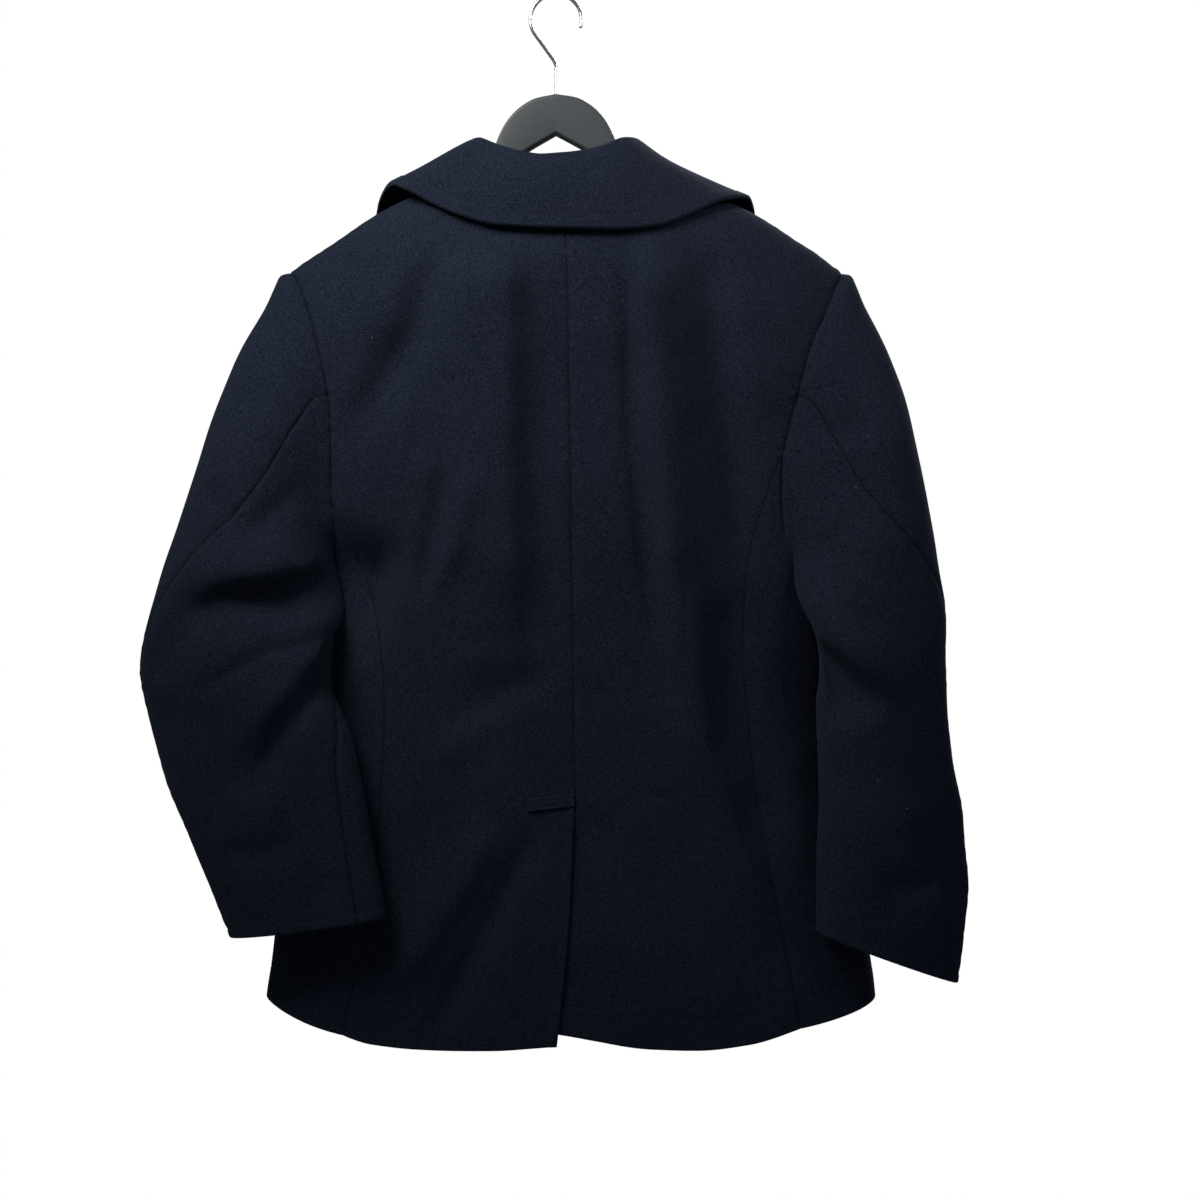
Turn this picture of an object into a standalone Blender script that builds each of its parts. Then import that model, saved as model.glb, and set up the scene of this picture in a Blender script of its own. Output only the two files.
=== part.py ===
"""Pea coat of thick wool cloth, buttoned, on a plastic hanger with a wire hook.

Metres, +Z up. The coat faces -Y, its back faces +Y and the wearer's left is +X. The origin is
the inside of the hook's bend, where a rail holds it, so places below it are given as a drop,
which is -z. A place on the torso is given by out, its distance from the coat's centre line,
and by face, +1 for the back and -1 for the front.
"""

import math

import bmesh
import bpy
import numpy as np
from mathutils import Vector

# ---- Cloth -------------------------------------------------------------------------------
CLOTH = 0.0025  # one layer of melton wool
COLLAR_CLOTH = 0.0045  # two layers pressed together
SEAM_GAP = 0.0004  # between pieces at a seam
MITRE_LIMIT = 2.5  # how far a corner's inner point may lie from its outer one, in cloths
REST_GAP = 0.0004  # between a piece and what it lies on
LAYER = CLOTH + 0.0009  # from one layer of the front or vent to the next

# ---- Torso -------------------------------------------------------------------------------
PLAN_POWER = 2.2  # 2 is an ellipse, more is squarer
SHOULDER_ROUND = 0.110  # how far below the shoulder line the chest reaches its full depth
NECK_HALF = 0.070
NECK_DIP = 0.024  # centre back of the neckline, below the shoulder line carried across
SHOULDER_TIP = 0.234
VENT_TOP = 0.6745
VENT_LAP = 0.041  # how far the under layer of the vent reaches past its edge
FRONT_LAP = 0.095  # how far each front reaches past the centre line
HEM_DROP = 0.868


class Table:
    """Rows with named columns, read smoothly between the rows along the first column."""

    def __init__(self, names, rows):
        self.names = names.split()
        self.rows = np.array(rows, float)

    def __call__(self, name, where):
        return smooth(self.rows[:, 0], self.rows[:, self.names.index(name)], where)


def smooth(xs, ys, where):
    """ys read at where by a cubic through every row, which never overshoots a row."""
    xs, ys = np.asarray(xs, float), np.asarray(ys, float)
    where = np.clip(where, xs[0], xs[-1])
    slope = np.diff(ys) / np.diff(xs)
    both = slope[:-1] * slope[1:]
    total = slope[:-1] + slope[1:]
    turning = both <= 0
    inner = np.where(turning, 0, 2 * both / np.where(turning, 1, total))
    tangent = np.concatenate([slope[:1], inner, slope[-1:]])
    i = np.clip(np.searchsorted(xs, where, side="right") - 1, 0, len(xs) - 2)
    step = xs[i + 1] - xs[i]
    t = (where - xs[i]) / step
    return (
        ys[i] * (1 + 2 * t) * (1 - t) ** 2
        + ys[i + 1] * t * t * (3 - 2 * t)
        + step * tangent[i] * t * (1 - t) ** 2
        - step * tangent[i + 1] * t * t * (1 - t)
    )


def ease(t):
    """0 up to t = 0, 1 from t = 1, and smooth between."""
    t = np.clip(t, 0, 1)
    return t * t * (3 - 2 * t)


TORSO = Table(
    "drop half_width back_depth front_depth centre",
    [
        (0.12, 0.262, 0.064, 0.066, 0.0040),
        (0.20, 0.262, 0.066, 0.070, -0.0085),
        (0.30, 0.252, 0.071, 0.078, -0.0085),
        (0.40, 0.242, 0.073, 0.083, -0.0090),
        (0.50, 0.230, 0.070, 0.080, -0.0100),
        (0.60, 0.225, 0.066, 0.074, -0.0105),
        (0.70, 0.235, 0.067, 0.072, -0.0115),
        (0.80, 0.252, 0.072, 0.075, -0.0130),
        (0.90, 0.263, 0.076, 0.079, -0.0130),
    ],
)
SHOULDER = Table(
    "out drop",
    [
        (0.000, 0.1500),
        (0.070, 0.1560),
        (0.110, 0.1655),
        (0.140, 0.1765),
        (0.168, 0.1904),
        (0.200, 0.2117),
        (0.234, 0.2350),
    ],
)
# The seams of the back, with the wearer's left and right sides apart because they hang unlike.
ARMHOLE_BACK = Table(
    "drop left right",
    [
        (0.235, 0.2340, 0.2340),
        (0.245, 0.2255, 0.2290),
        (0.278, 0.2113, 0.2140),
        (0.304, 0.2040, 0.2023),
        (0.333, 0.1975, 0.1940),
        (0.353, 0.1945, 0.1885),
        (0.394, 0.1935, 0.1784),
        (0.434, 0.1935, 0.1710),
    ],
)
SIDE_BACK = Table(
    "drop left right",
    [
        (0.394, 0.2100, 0.1784),
        (0.434, 0.1935, 0.1630),
        (0.475, 0.1750, 0.1510),
        (0.520, 0.1600, 0.1460),
        (0.560, 0.1530, 0.1450),
        (0.600, 0.1510, 0.1480),
        (0.650, 0.1530, 0.1530),
        (0.700, 0.1570, 0.1600),
        (0.750, 0.1630, 0.1680),
        (0.800, 0.1720, 0.1780),
        (0.870, 0.1870, 0.1910),
    ],
)
ARMHOLE_FRONT = Table(
    "drop out",
    [
        (0.235, 0.2340),
        (0.250, 0.2180),
        (0.280, 0.2020),
        (0.320, 0.1900),
        (0.360, 0.1840),
        (0.420, 0.1860),
    ],
)
SIDE_FRONT = Table(
    "drop out",
    [
        (0.420, 0.1860),
        (0.500, 0.1780),
        (0.600, 0.1780),
        (0.700, 0.1860),
        (0.800, 0.1960),
        (0.870, 0.2040),
    ],
)
JOIN_BACK = {1: 0.434, -1: 0.394}  # where the side back seam meets the armhole
JOIN_FRONT = 0.420
ARMHOLE_LOW = 0.500
HEM_BACK = Table(
    "x drop",
    [
        (-0.275, 0.8480),
        (-0.245, 0.8530),
        (-0.200, 0.8660),
        (-0.160, 0.8760),
        (-0.120, 0.8795),
        (-0.080, 0.8780),
        (-0.035, 0.8715),
        (-0.003, 0.8660),
    ],
)
HEM_BACK_LEFT = Table(
    "x drop",
    [
        (-0.020, 0.8750),
        (0.000, 0.8755),
        (0.050, 0.8790),
        (0.100, 0.8795),
        (0.150, 0.8765),
        (0.175, 0.8700),
        (0.205, 0.8560),
        (0.225, 0.8510),
        (0.252, 0.8480),
    ],
)
VENT_EDGE = Table("drop x", [(0.6745, -0.0170), (0.780, -0.0120), (0.880, -0.0020)])

# ---- Front, lapels and collar --------------------------------------------------------------
GORGE = (0.062, 0.195)  # out and drop of the roll line's top
BREAK = (-FRONT_LAP, 0.440)  # and of its foot, where the lapel starts to turn
LAPEL_TIP = (0.168, 0.262)
LAPEL_CLOTH = 0.0040
LAPEL_RISE = 0.0064  # its face above the front that it lies on
LAPEL_ROLL = 0.00455
LAPEL_SHOWN = {1: (1.0, 1.0), -1: (0.33, 0.51)}  # shares of the roll line and of the edge
LAPEL_EDGE = Table(
    "share out drop",
    [
        (0.00, 0.168, 0.262),
        (0.12, 0.158, 0.288),
        (0.40, 0.092, 0.354),
        (0.70, 0.008, 0.409),
        (1.00, -0.088, 0.444),
    ],
)
NOTCH = 0.52  # share of the gorge that collar and lapel meet along
COLLAR_TIP = (0.153, 0.231)
COLLAR_ROLL = 0.0062
COLLAR_BULGE = 0.0045
COLLAR_ARC, COLLAR_FALL = 5, 5  # points over the roll and down the fall
COLLAR = Table(
    "s roll_x roll_y roll_drop edge_x edge_y edge_drop",
    [
        (0.00, 0.0465, -0.0540, 0.1915, 0.1445, -0.0575, 0.2310),
        (0.10, 0.0530, -0.0460, 0.1700, 0.1590, -0.0440, 0.1990),
        (0.20, 0.0600, -0.0250, 0.1455, 0.1545, -0.0250, 0.1710),
        (0.30, 0.0635, 0.0040, 0.1290, 0.1410, 0.0040, 0.1590),
        (0.375, 0.0580, 0.0270, 0.1305, 0.1270, 0.0340, 0.1690),
        (0.42, 0.0420, 0.0370, 0.1375, 0.1050, 0.0440, 0.1830),
        (0.46, 0.0270, 0.0425, 0.1430, 0.0776, 0.0575, 0.1973),
        (0.50, 0.0110, 0.0455, 0.1465, 0.0444, 0.0655, 0.2071),
        (0.54, -0.0070, 0.0450, 0.1450, 0.0000, 0.0680, 0.2100),
        (0.58, -0.0250, 0.0420, 0.1415, -0.0450, 0.0670, 0.2110),
        (0.62, -0.0420, 0.0370, 0.1355, -0.0862, 0.0600, 0.2061),
        (0.655, -0.0535, 0.0290, 0.1295, -0.1108, 0.0515, 0.1953),
        (0.70, -0.0630, 0.0060, 0.1275, -0.1430, 0.0300, 0.1775),
        (0.76, -0.0640, -0.0140, 0.1360, -0.1650, 0.0000, 0.1710),
        (0.82, -0.0655, -0.0300, 0.1490, -0.1715, -0.0260, 0.1830),
        (0.90, -0.0650, -0.0460, 0.1700, -0.1720, -0.0440, 0.2010),
        (1.00, -0.0635, -0.0540, 0.1915, -0.1615, -0.0575, 0.2310),
    ],
)

# ---- Sleeves -------------------------------------------------------------------------------
# A ring's outer and inner edges, and half its depth from back to front.
RING = "station outer_x outer_y outer_drop inner_x inner_y inner_drop half_depth"
SLEEVE = {
    1: Table(
        RING,
        [
            (0.0, 0.2255, 0.000, 0.2350, 0.2210, 0.000, 0.5000, 0.052),
            (0.2, 0.2335, 0.000, 0.2385, 0.2275, 0.000, 0.5000, 0.054),
            (0.5, 0.2380, 0.000, 0.2470, 0.2290, 0.001, 0.5090, 0.056),
            (1.0, 0.2448, 0.001, 0.2627, 0.2280, 0.005, 0.5200, 0.057),
            (2.0, 0.2686, 0.003, 0.3094, 0.2245, 0.017, 0.5350, 0.058),
            (3.0, 0.2911, 0.006, 0.3695, 0.2185, 0.030, 0.5490, 0.057),
            (4.0, 0.3082, 0.010, 0.4289, 0.2110, 0.042, 0.5620, 0.055),
            (5.0, 0.3252, 0.016, 0.4882, 0.2030, 0.051, 0.5750, 0.051),
            (6.0, 0.3387, 0.022, 0.5343, 0.1940, 0.056, 0.5890, 0.046),
            (7.0, 0.3444, 0.027, 0.5703, 0.1800, 0.060, 0.6040, 0.041),
            (8.0, 0.3360, 0.031, 0.6134, 0.1666, 0.062, 0.6270, 0.036),
            (9.0, 0.3217, 0.035, 0.6630, 0.1585, 0.066, 0.6560, 0.031),
            (10.0, 0.3007, 0.038, 0.7126, 0.1489, 0.072, 0.7045, 0.028),
            (11.0, 0.2821, 0.041, 0.7577, 0.1410, 0.077, 0.7446, 0.025),
            (12.0, 0.2672, 0.044, 0.7912, 0.1360, 0.080, 0.7690, 0.023),
        ],
    ),
    -1: Table(
        RING,
        [
            (0.0, -0.2425, 0.000, 0.2350, -0.2410, 0.000, 0.5000, 0.052),
            (0.2, -0.2505, 0.000, 0.2385, -0.2475, 0.000, 0.5000, 0.054),
            (0.5, -0.2545, 0.000, 0.2470, -0.2485, 0.001, 0.5090, 0.056),
            (1.0, -0.2601, 0.000, 0.2627, -0.2475, 0.005, 0.5190, 0.057),
            (2.0, -0.2831, 0.001, 0.3094, -0.2435, 0.017, 0.5340, 0.058),
            (3.0, -0.2994, 0.004, 0.3652, -0.2375, 0.030, 0.5490, 0.057),
            (4.0, -0.3105, 0.007, 0.4220, -0.2310, 0.041, 0.5640, 0.055),
            (5.0, -0.3174, 0.010, 0.4754, -0.2250, 0.049, 0.5800, 0.051),
            (6.0, -0.3233, 0.013, 0.5302, -0.2200, 0.054, 0.5970, 0.046),
            (7.0, -0.3236, 0.016, 0.5850, -0.2150, 0.056, 0.6170, 0.040),
            (8.0, -0.3285, 0.019, 0.6394, -0.2081, 0.055, 0.6430, 0.036),
            (9.0, -0.3391, 0.022, 0.6936, -0.2065, 0.056, 0.6790, 0.033),
            (10.0, -0.3430, 0.025, 0.7477, -0.2065, 0.057, 0.7186, 0.030),
            (11.0, -0.3400, 0.027, 0.7933, -0.2061, 0.058, 0.7553, 0.027),
            (12.0, -0.3353, 0.029, 0.8312, -0.2061, 0.059, 0.7846, 0.024),
        ],
    ),
}
# Where the seams lie around it, in degrees from the outer edge towards the back.
SLEEVE_SEAMS = {
    1: Table(
        "station elbow front",
        [
            (0, 79, 249),
            (1, 77, 253),
            (2, 72, 251),
            (4, 50, 236),
            (5, 39, 218),
            (6, 29, 196),
            (7, 22, 173),
            (8, 17, 156),
            (9, 14, 145),
            (12, 10, 136),
        ],
    ),
    -1: Table(
        "station elbow front",
        [
            (0, 80, 249),
            (1, 78, 253),
            (2, 74, 252),
            (3, 65, 244),
            (4, 54, 233),
            (6, 26, 214),
            (8, 5, 202),
            (12, 0, 200),
        ],
    ),
}
SLEEVE_POWER = 2.2
LAST_STATION = 12.0
CAP_STATIONS = 5.0  # how far down the armhole's own shape is felt
# Under the arm the sleeve's slack cloth falls in behind the body: how far, where and how high.
SLEEVE_TUCK = {1: (0.022, 0.550, 0.045), -1: (0.026, 0.560, 0.055)}
# How far a sleeve stays off the torso that it lies on.
SLEEVE_CLEAR = Table("station gap", [(0, 0), (0.2, 0.0025), (0.7, 0.005), (1.5, 0.006), (6, 0.006)])

# ---- Folds -----------------------------------------------------------------------------------
# Each row runs from its start through its middle to its end, in x and drop, and rises by
# height, or sinks by it, across a half width.
FOLD = "start_x start_drop middle_x middle_drop end_x end_drop half_width height"
BACK_FOLDS = [
    (0.118, 0.230, 0.142, 0.315, 0.176, 0.390, 0.016, -0.0055),
    (0.075, 0.250, 0.085, 0.330, 0.095, 0.400, 0.026, 0.0040),
    (0.137, 0.390, 0.138, 0.430, 0.136, 0.470, 0.011, -0.0040),
    (0.027, 0.260, 0.026, 0.400, 0.024, 0.550, 0.014, -0.0040),
    (0.056, 0.400, 0.052, 0.480, 0.048, 0.560, 0.018, 0.0030),
    (-0.029, 0.225, -0.037, 0.343, -0.048, 0.479, 0.013, -0.0045),
    (-0.060, 0.235, -0.076, 0.343, -0.084, 0.479, 0.014, 0.0045),
    (-0.101, 0.369, -0.114, 0.479, -0.127, 0.556, 0.014, -0.0055),
    (-0.127, 0.580, -0.139, 0.640, -0.165, 0.760, 0.017, -0.0060),
    (-0.010, 0.582, 0.046, 0.628, 0.096, 0.645, 0.012, -0.0050),
    (-0.005, 0.560, 0.050, 0.600, 0.100, 0.618, 0.014, 0.0035),
    (0.041, 0.758, 0.065, 0.802, 0.107, 0.862, 0.015, -0.0055),
]
FRONT_FOLDS = [
    (0.150, 0.300, 0.140, 0.360, 0.120, 0.420, 0.020, -0.0040),
    (-0.150, 0.300, -0.145, 0.370, -0.130, 0.440, 0.020, -0.0040),
    (0.205, 0.540, 0.195, 0.620, 0.205, 0.720, 0.016, -0.0030),
    (-0.225, 0.540, -0.215, 0.640, -0.230, 0.740, 0.016, -0.0030),
]
SLEEVE_FOLDS = [
    (0.200, 0.499, 0.250, 0.508, 0.300, 0.522, 0.017, -0.0100),
    (0.205, 0.462, 0.255, 0.470, 0.310, 0.485, 0.020, 0.0060),
    (0.280, 0.515, 0.295, 0.550, 0.325, 0.600, 0.015, -0.0060),
    (0.196, 0.552, 0.215, 0.594, 0.240, 0.650, 0.017, -0.0090),
    (0.218, 0.688, 0.245, 0.722, 0.285, 0.742, 0.018, -0.0040),
    (-0.228, 0.515, -0.252, 0.555, -0.284, 0.592, 0.018, -0.0070),
    (-0.255, 0.485, -0.285, 0.530, -0.310, 0.565, 0.020, 0.0050),
    (-0.285, 0.640, -0.300, 0.690, -0.322, 0.730, 0.020, -0.0050),
]

# ---- Mesh counts -----------------------------------------------------------------------------
ARMHOLE_ROWS = 9
SEAM_ROWS = 16  # from the armhole down to the hem
PANEL_COLUMNS = 9
SIDE_COLUMNS = 8
SLEEVE_ROWS = 25
ROW_CROWDING = 1.5  # more crowds the armhole's rows towards the shoulder
ELBOW_ROW = {1: 6, -1: 7}  # armhole row where the elbow seam starts
FRONT_SEAM_ROW = 9
LAPEL_ROWS = 13

# ---- Buttons, pockets, hanger ----------------------------------------------------------------
BUTTON_RADIUS = 0.0155
BUTTON_DEPTH = 0.0045
BUTTON_OUT = 0.070  # each column from the centre line
BUTTON_DROPS = [0.468, 0.568, 0.668, 0.768]
WELT_OUT = 0.148
WELT_LEAN = 0.010  # its foot lies this much further out than its top
WELT_WIDTH = 0.026
WELT_TOP, WELT_FOOT = 0.600, 0.765
BAR_LENGTH, BAR_WIDTH, BAR_RISE = 0.040, 0.0085, 0.0014
HANGER_THICK = 0.013
HANGER_ROUND = 0.0035
HANGER_HALF = 0.188
HANGER_TILT = math.tan(math.radians(1.25))  # lower on the wearer's left
HANGER_SEAT = 0.0055  # its top below the shoulder seam's, with the coat's cloth between
HANGER = Table(
    "x top foot",
    [
        (0.000, 0.0840, 0.1183),
        (0.017, 0.0872, 0.1278),
        (0.029, 0.0935, 0.1350),
        (0.040, 0.1040, 0.1420),
        (0.049, 0.1200, 0.1490),
        (0.056, 0.1420, 0.1610),
        (0.063, 0.1605, 0.1750),
        (0.075, 0.1625, 0.1830),
        (0.188, 0.2090, 0.2260),
    ],
)
HANGER_ARM = 0.075  # from here out its top follows the shoulders
WIRE_RADIUS = 0.0015
HOOK_RADIUS = 0.0217
HOOK_START, HOOK_END = -36, 195  # degrees around the bend from the wearer's left
STEM_BEND = 0.0570

COLOURS = {
    "wool": ((0.0095, 0.0130, 0.0240, 1), 0.95, 0.0),
    "button": ((0.010, 0.011, 0.015, 1), 0.35, 0.0),
    "plastic": ((0.045, 0.050, 0.053, 1), 0.45, 0.0),
    "chrome": ((0.75, 0.76, 0.78, 1), 0.15, 1.0),
}


# ---- Scene -----------------------------------------------------------------------------------
def material(name):
    colour, roughness, metallic = COLOURS[name]
    made = bpy.data.materials.get(name) or bpy.data.materials.new(name)
    made.use_nodes = True
    shader = made.node_tree.nodes["Principled BSDF"]
    shader.inputs["Base Color"].default_value = colour
    shader.inputs["Roughness"].default_value = roughness
    shader.inputs["Metallic"].default_value = metallic
    return made


def add(name, mesh, finish):
    """An object for a finished mesh, shaded smooth, in the coat's own collection."""
    mesh.materials.append(material(finish))
    mesh.shade_smooth()
    mesh.set_sharp_from_angle(angle=math.radians(40))
    made = bpy.data.objects.new(name, mesh)
    COLLECTION.objects.link(made)
    return made


def wall(name, outer, inner, finish="wool"):
    """A closed sheet between two grids of points, outer and inner, of the same shape."""
    rows, columns = outer.shape[:2]
    count = rows * columns
    index = np.arange(count).reshape(rows, columns)
    front = np.stack([index[:-1, :-1], index[1:, :-1], index[1:, 1:], index[:-1, 1:]], -1)
    front = front.reshape(-1, 4)
    back = front[:, [0, 3, 2, 1]] + count
    edge = np.concatenate([index[0, :-1], index[:-1, -1], index[-1, :0:-1], index[:0:-1, 0]])
    after = np.roll(edge, -1)
    rim = np.stack([edge, after, after + count, edge + count], -1)
    rim[after < edge] = rim[after < edge][:, [1, 2, 3, 0]]
    faces = np.concatenate([front, back, rim])
    points = np.concatenate([outer.reshape(-1, 3), inner.reshape(-1, 3)])
    tall = np.cross(points[front[:, 2]] - points[front[:, 0]], points[front[:, 3]] - points[front[:, 1]])
    thick = (outer - inner).reshape(-1, 3)[front[:, 0]]
    if (tall * thick).sum() < 0:
        faces = faces[:, [0, 3, 2, 1]]
    mesh = bpy.data.meshes.new(name)
    mesh.from_pydata(points.tolist(), [], faces.tolist())
    return add(name, mesh, finish)


# ---- Torso surface ---------------------------------------------------------------------------
def fold_height(folds, x, drop):
    """How far the folds raise the cloth at a place."""
    total = np.zeros(np.broadcast(x, drop).shape)
    for row in folds:
        places, (half_width, height) = np.array(row[:6]).reshape(3, 2), row[6:]
        nearest = np.full(total.shape, np.inf)
        for (x0, drop0), (x1, drop1) in zip(places[:-1], places[1:]):
            length2 = (x1 - x0) ** 2 + (drop1 - drop0) ** 2
            along = np.clip(((x - x0) * (x1 - x0) + (drop - drop0) * (drop1 - drop0)) / length2, 0, 1)
            away = (x - x0 - along * (x1 - x0)) ** 2 + (drop - drop0 - along * (drop1 - drop0)) ** 2
            nearest = np.minimum(nearest, away)
        total += height * np.exp(-nearest / half_width**2)
    return total


def torso(side, out, drop, face, lift=0.0):
    """Points of the torso's outer surface, moved out by lift."""
    out, drop = np.broadcast_arrays(np.asarray(out, float), np.asarray(drop, float))
    x = TORSO("centre", drop) + side * out
    across = np.clip(np.abs(out) / TORSO("half_width", drop), 0, 1)
    plan = (1 - across**PLAN_POWER) ** (1 / PLAN_POWER)
    crest = np.clip((drop - SHOULDER("drop", np.abs(out))) / SHOULDER_ROUND, 0, 1)
    full = plan * np.sqrt(1 - (1 - crest) ** 2)
    back = TORSO("back_depth", drop) + fold_height(BACK_FOLDS, x, drop)
    front = TORSO("front_depth", drop) + fold_height(FRONT_FOLDS, x, drop)
    depth = full * np.where(np.asarray(face) > 0, back, front)
    return np.stack([x, face * (depth + lift), -drop], -1)


def patch(top, bottom, inner, outer):
    """A grid of places that fills the space between four edges; each is an array of (out, drop)."""
    v = np.linspace(0, 1, len(inner))[:, None, None]
    u = np.linspace(0, 1, len(top))[None, :, None]
    ruled = (1 - v) * top[None] + v * bottom[None] + (1 - u) * inner[:, None] + u * outer[:, None]
    corners = (
        (1 - u) * (1 - v) * top[0]
        + u * (1 - v) * top[-1]
        + (1 - u) * v * bottom[0]
        + u * v * bottom[-1]
    )
    return ruled - corners


def sampled(points, shares):
    """Places along a polyline at shares of its length."""
    points = np.array(points, float)
    length = np.concatenate([[0], np.cumsum(np.linalg.norm(np.diff(points, axis=0), axis=1))])
    return np.stack([np.interp(np.asarray(shares) * length[-1], length, c) for c in points.T], -1)


def neckline(s, shrink=1.0):
    """(out, drop) of the neckline at s from 0, left gorge, by 0.3 and 0.7, the shoulders, to 1."""
    turn = np.clip((s - 0.3) / 0.4, 0, 1) * math.pi
    out = shrink * NECK_HALF * np.cos(turn)
    drop = SHOULDER("drop", np.abs(out)) + shrink * NECK_DIP * np.sin(turn) ** 2
    front = np.clip(np.where(s < 0.5, 0.3 - s, s - 0.7) / 0.3, 0, 1)
    out = out - np.sign(out) * shrink * (NECK_HALF - GORGE[0]) * front
    drop = drop + (GORGE[1] - SHOULDER("drop", GORGE[0])) * shrink * np.sin(front * math.pi / 2)
    return out, drop


def armhole_drops(low):
    share = (np.arange(ARMHOLE_ROWS + 1) / ARMHOLE_ROWS) ** ROW_CROWDING
    start = SHOULDER("drop", SHOULDER_TIP)
    return start + (low - start) * share


def hem_drop(side, x, face):
    left = HEM_BACK_LEFT("drop", x)
    right = HEM_BACK("drop", x)
    front = HEM_DROP - 0.014 * np.abs(x / 0.26) ** 3
    return np.where(np.asarray(face) > 0, left if side > 0 else right, front)


def hem_out(side, seam, column, face):
    """Where a side seam meets the hem, as (out, drop)."""
    low = HEM_DROP
    for _ in range(4):
        out = seam(column, low)
        low = hem_drop(side, TORSO("centre", low) + side * out, face)
    return np.array([out, low], float)


def shoulder_edge():
    out = np.linspace(NECK_HALF, SHOULDER_TIP, PANEL_COLUMNS + 1)
    return np.stack([out, SHOULDER("drop", out)], -1)


def hem_edge(side, inner_x, outer, face):
    """Hem places from an x on the inner edge to the side seam."""
    x_outer = TORSO("centre", outer[1]) + side * outer[0]
    x = np.linspace(inner_x, x_outer, PANEL_COLUMNS + 1)
    drop = hem_drop(side, x, face)
    return np.stack([side * (x - TORSO("centre", drop)), drop], -1)


def outer_edge(armhole, seam, column, join, foot):
    upper = armhole_drops(join)
    lower = np.linspace(join, foot[1], SEAM_ROWS + 1)[1:]
    outs = np.concatenate([armhole(column, upper), seam(column, lower)])
    return np.stack([outs, np.concatenate([upper, lower])], -1)


def vent_recess(side, x, drop):
    """The right back sinks behind the left one along the vent."""
    if side > 0:
        return np.zeros(np.broadcast(x, drop).shape)
    beyond = ease((x - VENT_EDGE("x", drop) + 0.045) / 0.028)
    return LAYER * beyond * np.clip((drop - VENT_TOP) / 0.003, 0, 1)


def back_grid(side):
    """The outer points of one half of the back, rows from shoulder to hem, centre seam first."""
    column = "left" if side > 0 else "right"
    foot = hem_out(side, SIDE_BACK, column, 1)
    outer = outer_edge(ARMHOLE_BACK, SIDE_BACK, column, JOIN_BACK[side], foot)
    neck_rows = 4
    neck = np.stack(neckline(np.linspace(0.3, 0.5, neck_rows + 1)), -1)
    under = VENT_TOP + np.array([0.0, 0.011, 0.018])
    rest = len(outer) - 1 - neck_rows - 2
    centre_rows = round(rest * 0.64)
    centre = np.linspace(neck[-1, 1], VENT_TOP, centre_rows + 1)[1:]
    lap_x = VENT_EDGE("x", under[1:])
    inner_x = float(VENT_EDGE("x", 0.876)) if side > 0 else VENT_LAP
    if side < 0:
        lap_x += [-0.0015, VENT_LAP]
    bottom = hem_edge(side, inner_x, foot, 1)
    vent_rows = rest - centre_rows
    vent_drops = np.linspace(under[2], bottom[0, 1], vent_rows + 1)[1:]
    if side > 0:
        vent_x = VENT_EDGE("x", vent_drops)
    else:
        vent_x = np.linspace(lap_x[1], inner_x, vent_rows + 1)[1:]
    lap = np.stack([side * (lap_x - TORSO("centre", under[1:])), under[1:]], -1)
    vent = np.stack([side * (vent_x - TORSO("centre", vent_drops)), vent_drops], -1)
    seam_x = smooth([neck[-1, 1], 0.25, VENT_TOP], [-0.0070, -0.0105, -0.0170], centre)
    seam = np.stack([side * (seam_x - TORSO("centre", centre)), centre], -1)
    neck[:, 0] += (neck_out_shift(side) * np.linspace(0, 1, neck_rows + 1))
    inner = np.concatenate([neck, seam, lap, vent])
    bottom[0] = inner[-1]
    places = patch(shoulder_edge(), bottom, inner, outer)
    out, drop = places[..., 0], places[..., 1]
    x = TORSO("centre", drop) + side * out
    return torso(side, out, drop, 1, -vent_recess(side, x, drop))


def neck_out_shift(side):
    """The centre back seam's top lies a little to the wearer's right of the centre line."""
    return side * (-0.0070 - float(TORSO("centre", SHOULDER("drop", 0.0) + NECK_DIP)))


def front_lift(side, out, drop):
    """The left front lies one layer over the right one where they overlap."""
    if side < 0:
        return np.zeros(np.broadcast(out, drop).shape)
    return LAYER * ease((0.138 - out) / 0.035) * ease((drop - 0.235) / 0.045)


def front_surface(side, out, drop, lift=0.0):
    return torso(side, out, drop, -1, front_lift(side, out, drop) + lift)


def roll_line(share):
    return np.array(GORGE) + np.multiply.outer(share, np.subtract(BREAK, GORGE))


def front_grid(side):
    """The outer points of one front, rows from shoulder to hem, the opening's edge first."""
    foot = hem_out(side, SIDE_FRONT, "out", -1)
    outer = outer_edge(ARMHOLE_FRONT, SIDE_FRONT, "out", JOIN_FRONT, foot)
    neck_rows, roll_rows = 4, 9
    s = np.linspace(0.3, 0.0, neck_rows + 1)
    neck = np.stack(neckline(s), -1)
    roll = roll_line(np.linspace(0, 1, roll_rows + 1))[1:]
    edge_rows = len(outer) - 1 - neck_rows - roll_rows
    edge_x = TORSO("centre", HEM_DROP) - side * FRONT_LAP
    bottom = hem_edge(side, edge_x, foot, -1)
    edge_drop = np.linspace(BREAK[1], bottom[0, 1], edge_rows + 1)[1:]
    edge = np.stack([np.full(edge_rows, -FRONT_LAP), edge_drop], -1)
    inner = np.concatenate([neck, roll, edge])
    bottom[0] = inner[-1]
    places = patch(shoulder_edge(), bottom, inner, outer)
    return front_surface(side, places[..., 0], places[..., 1])


def side_angle(out, drop):
    """Where a distance out lies on the torso's section, 0 at its side."""
    across = np.clip(out / TORSO("half_width", drop), 0, 1)
    return np.arccos(across ** (PLAN_POWER / 2))


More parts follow.
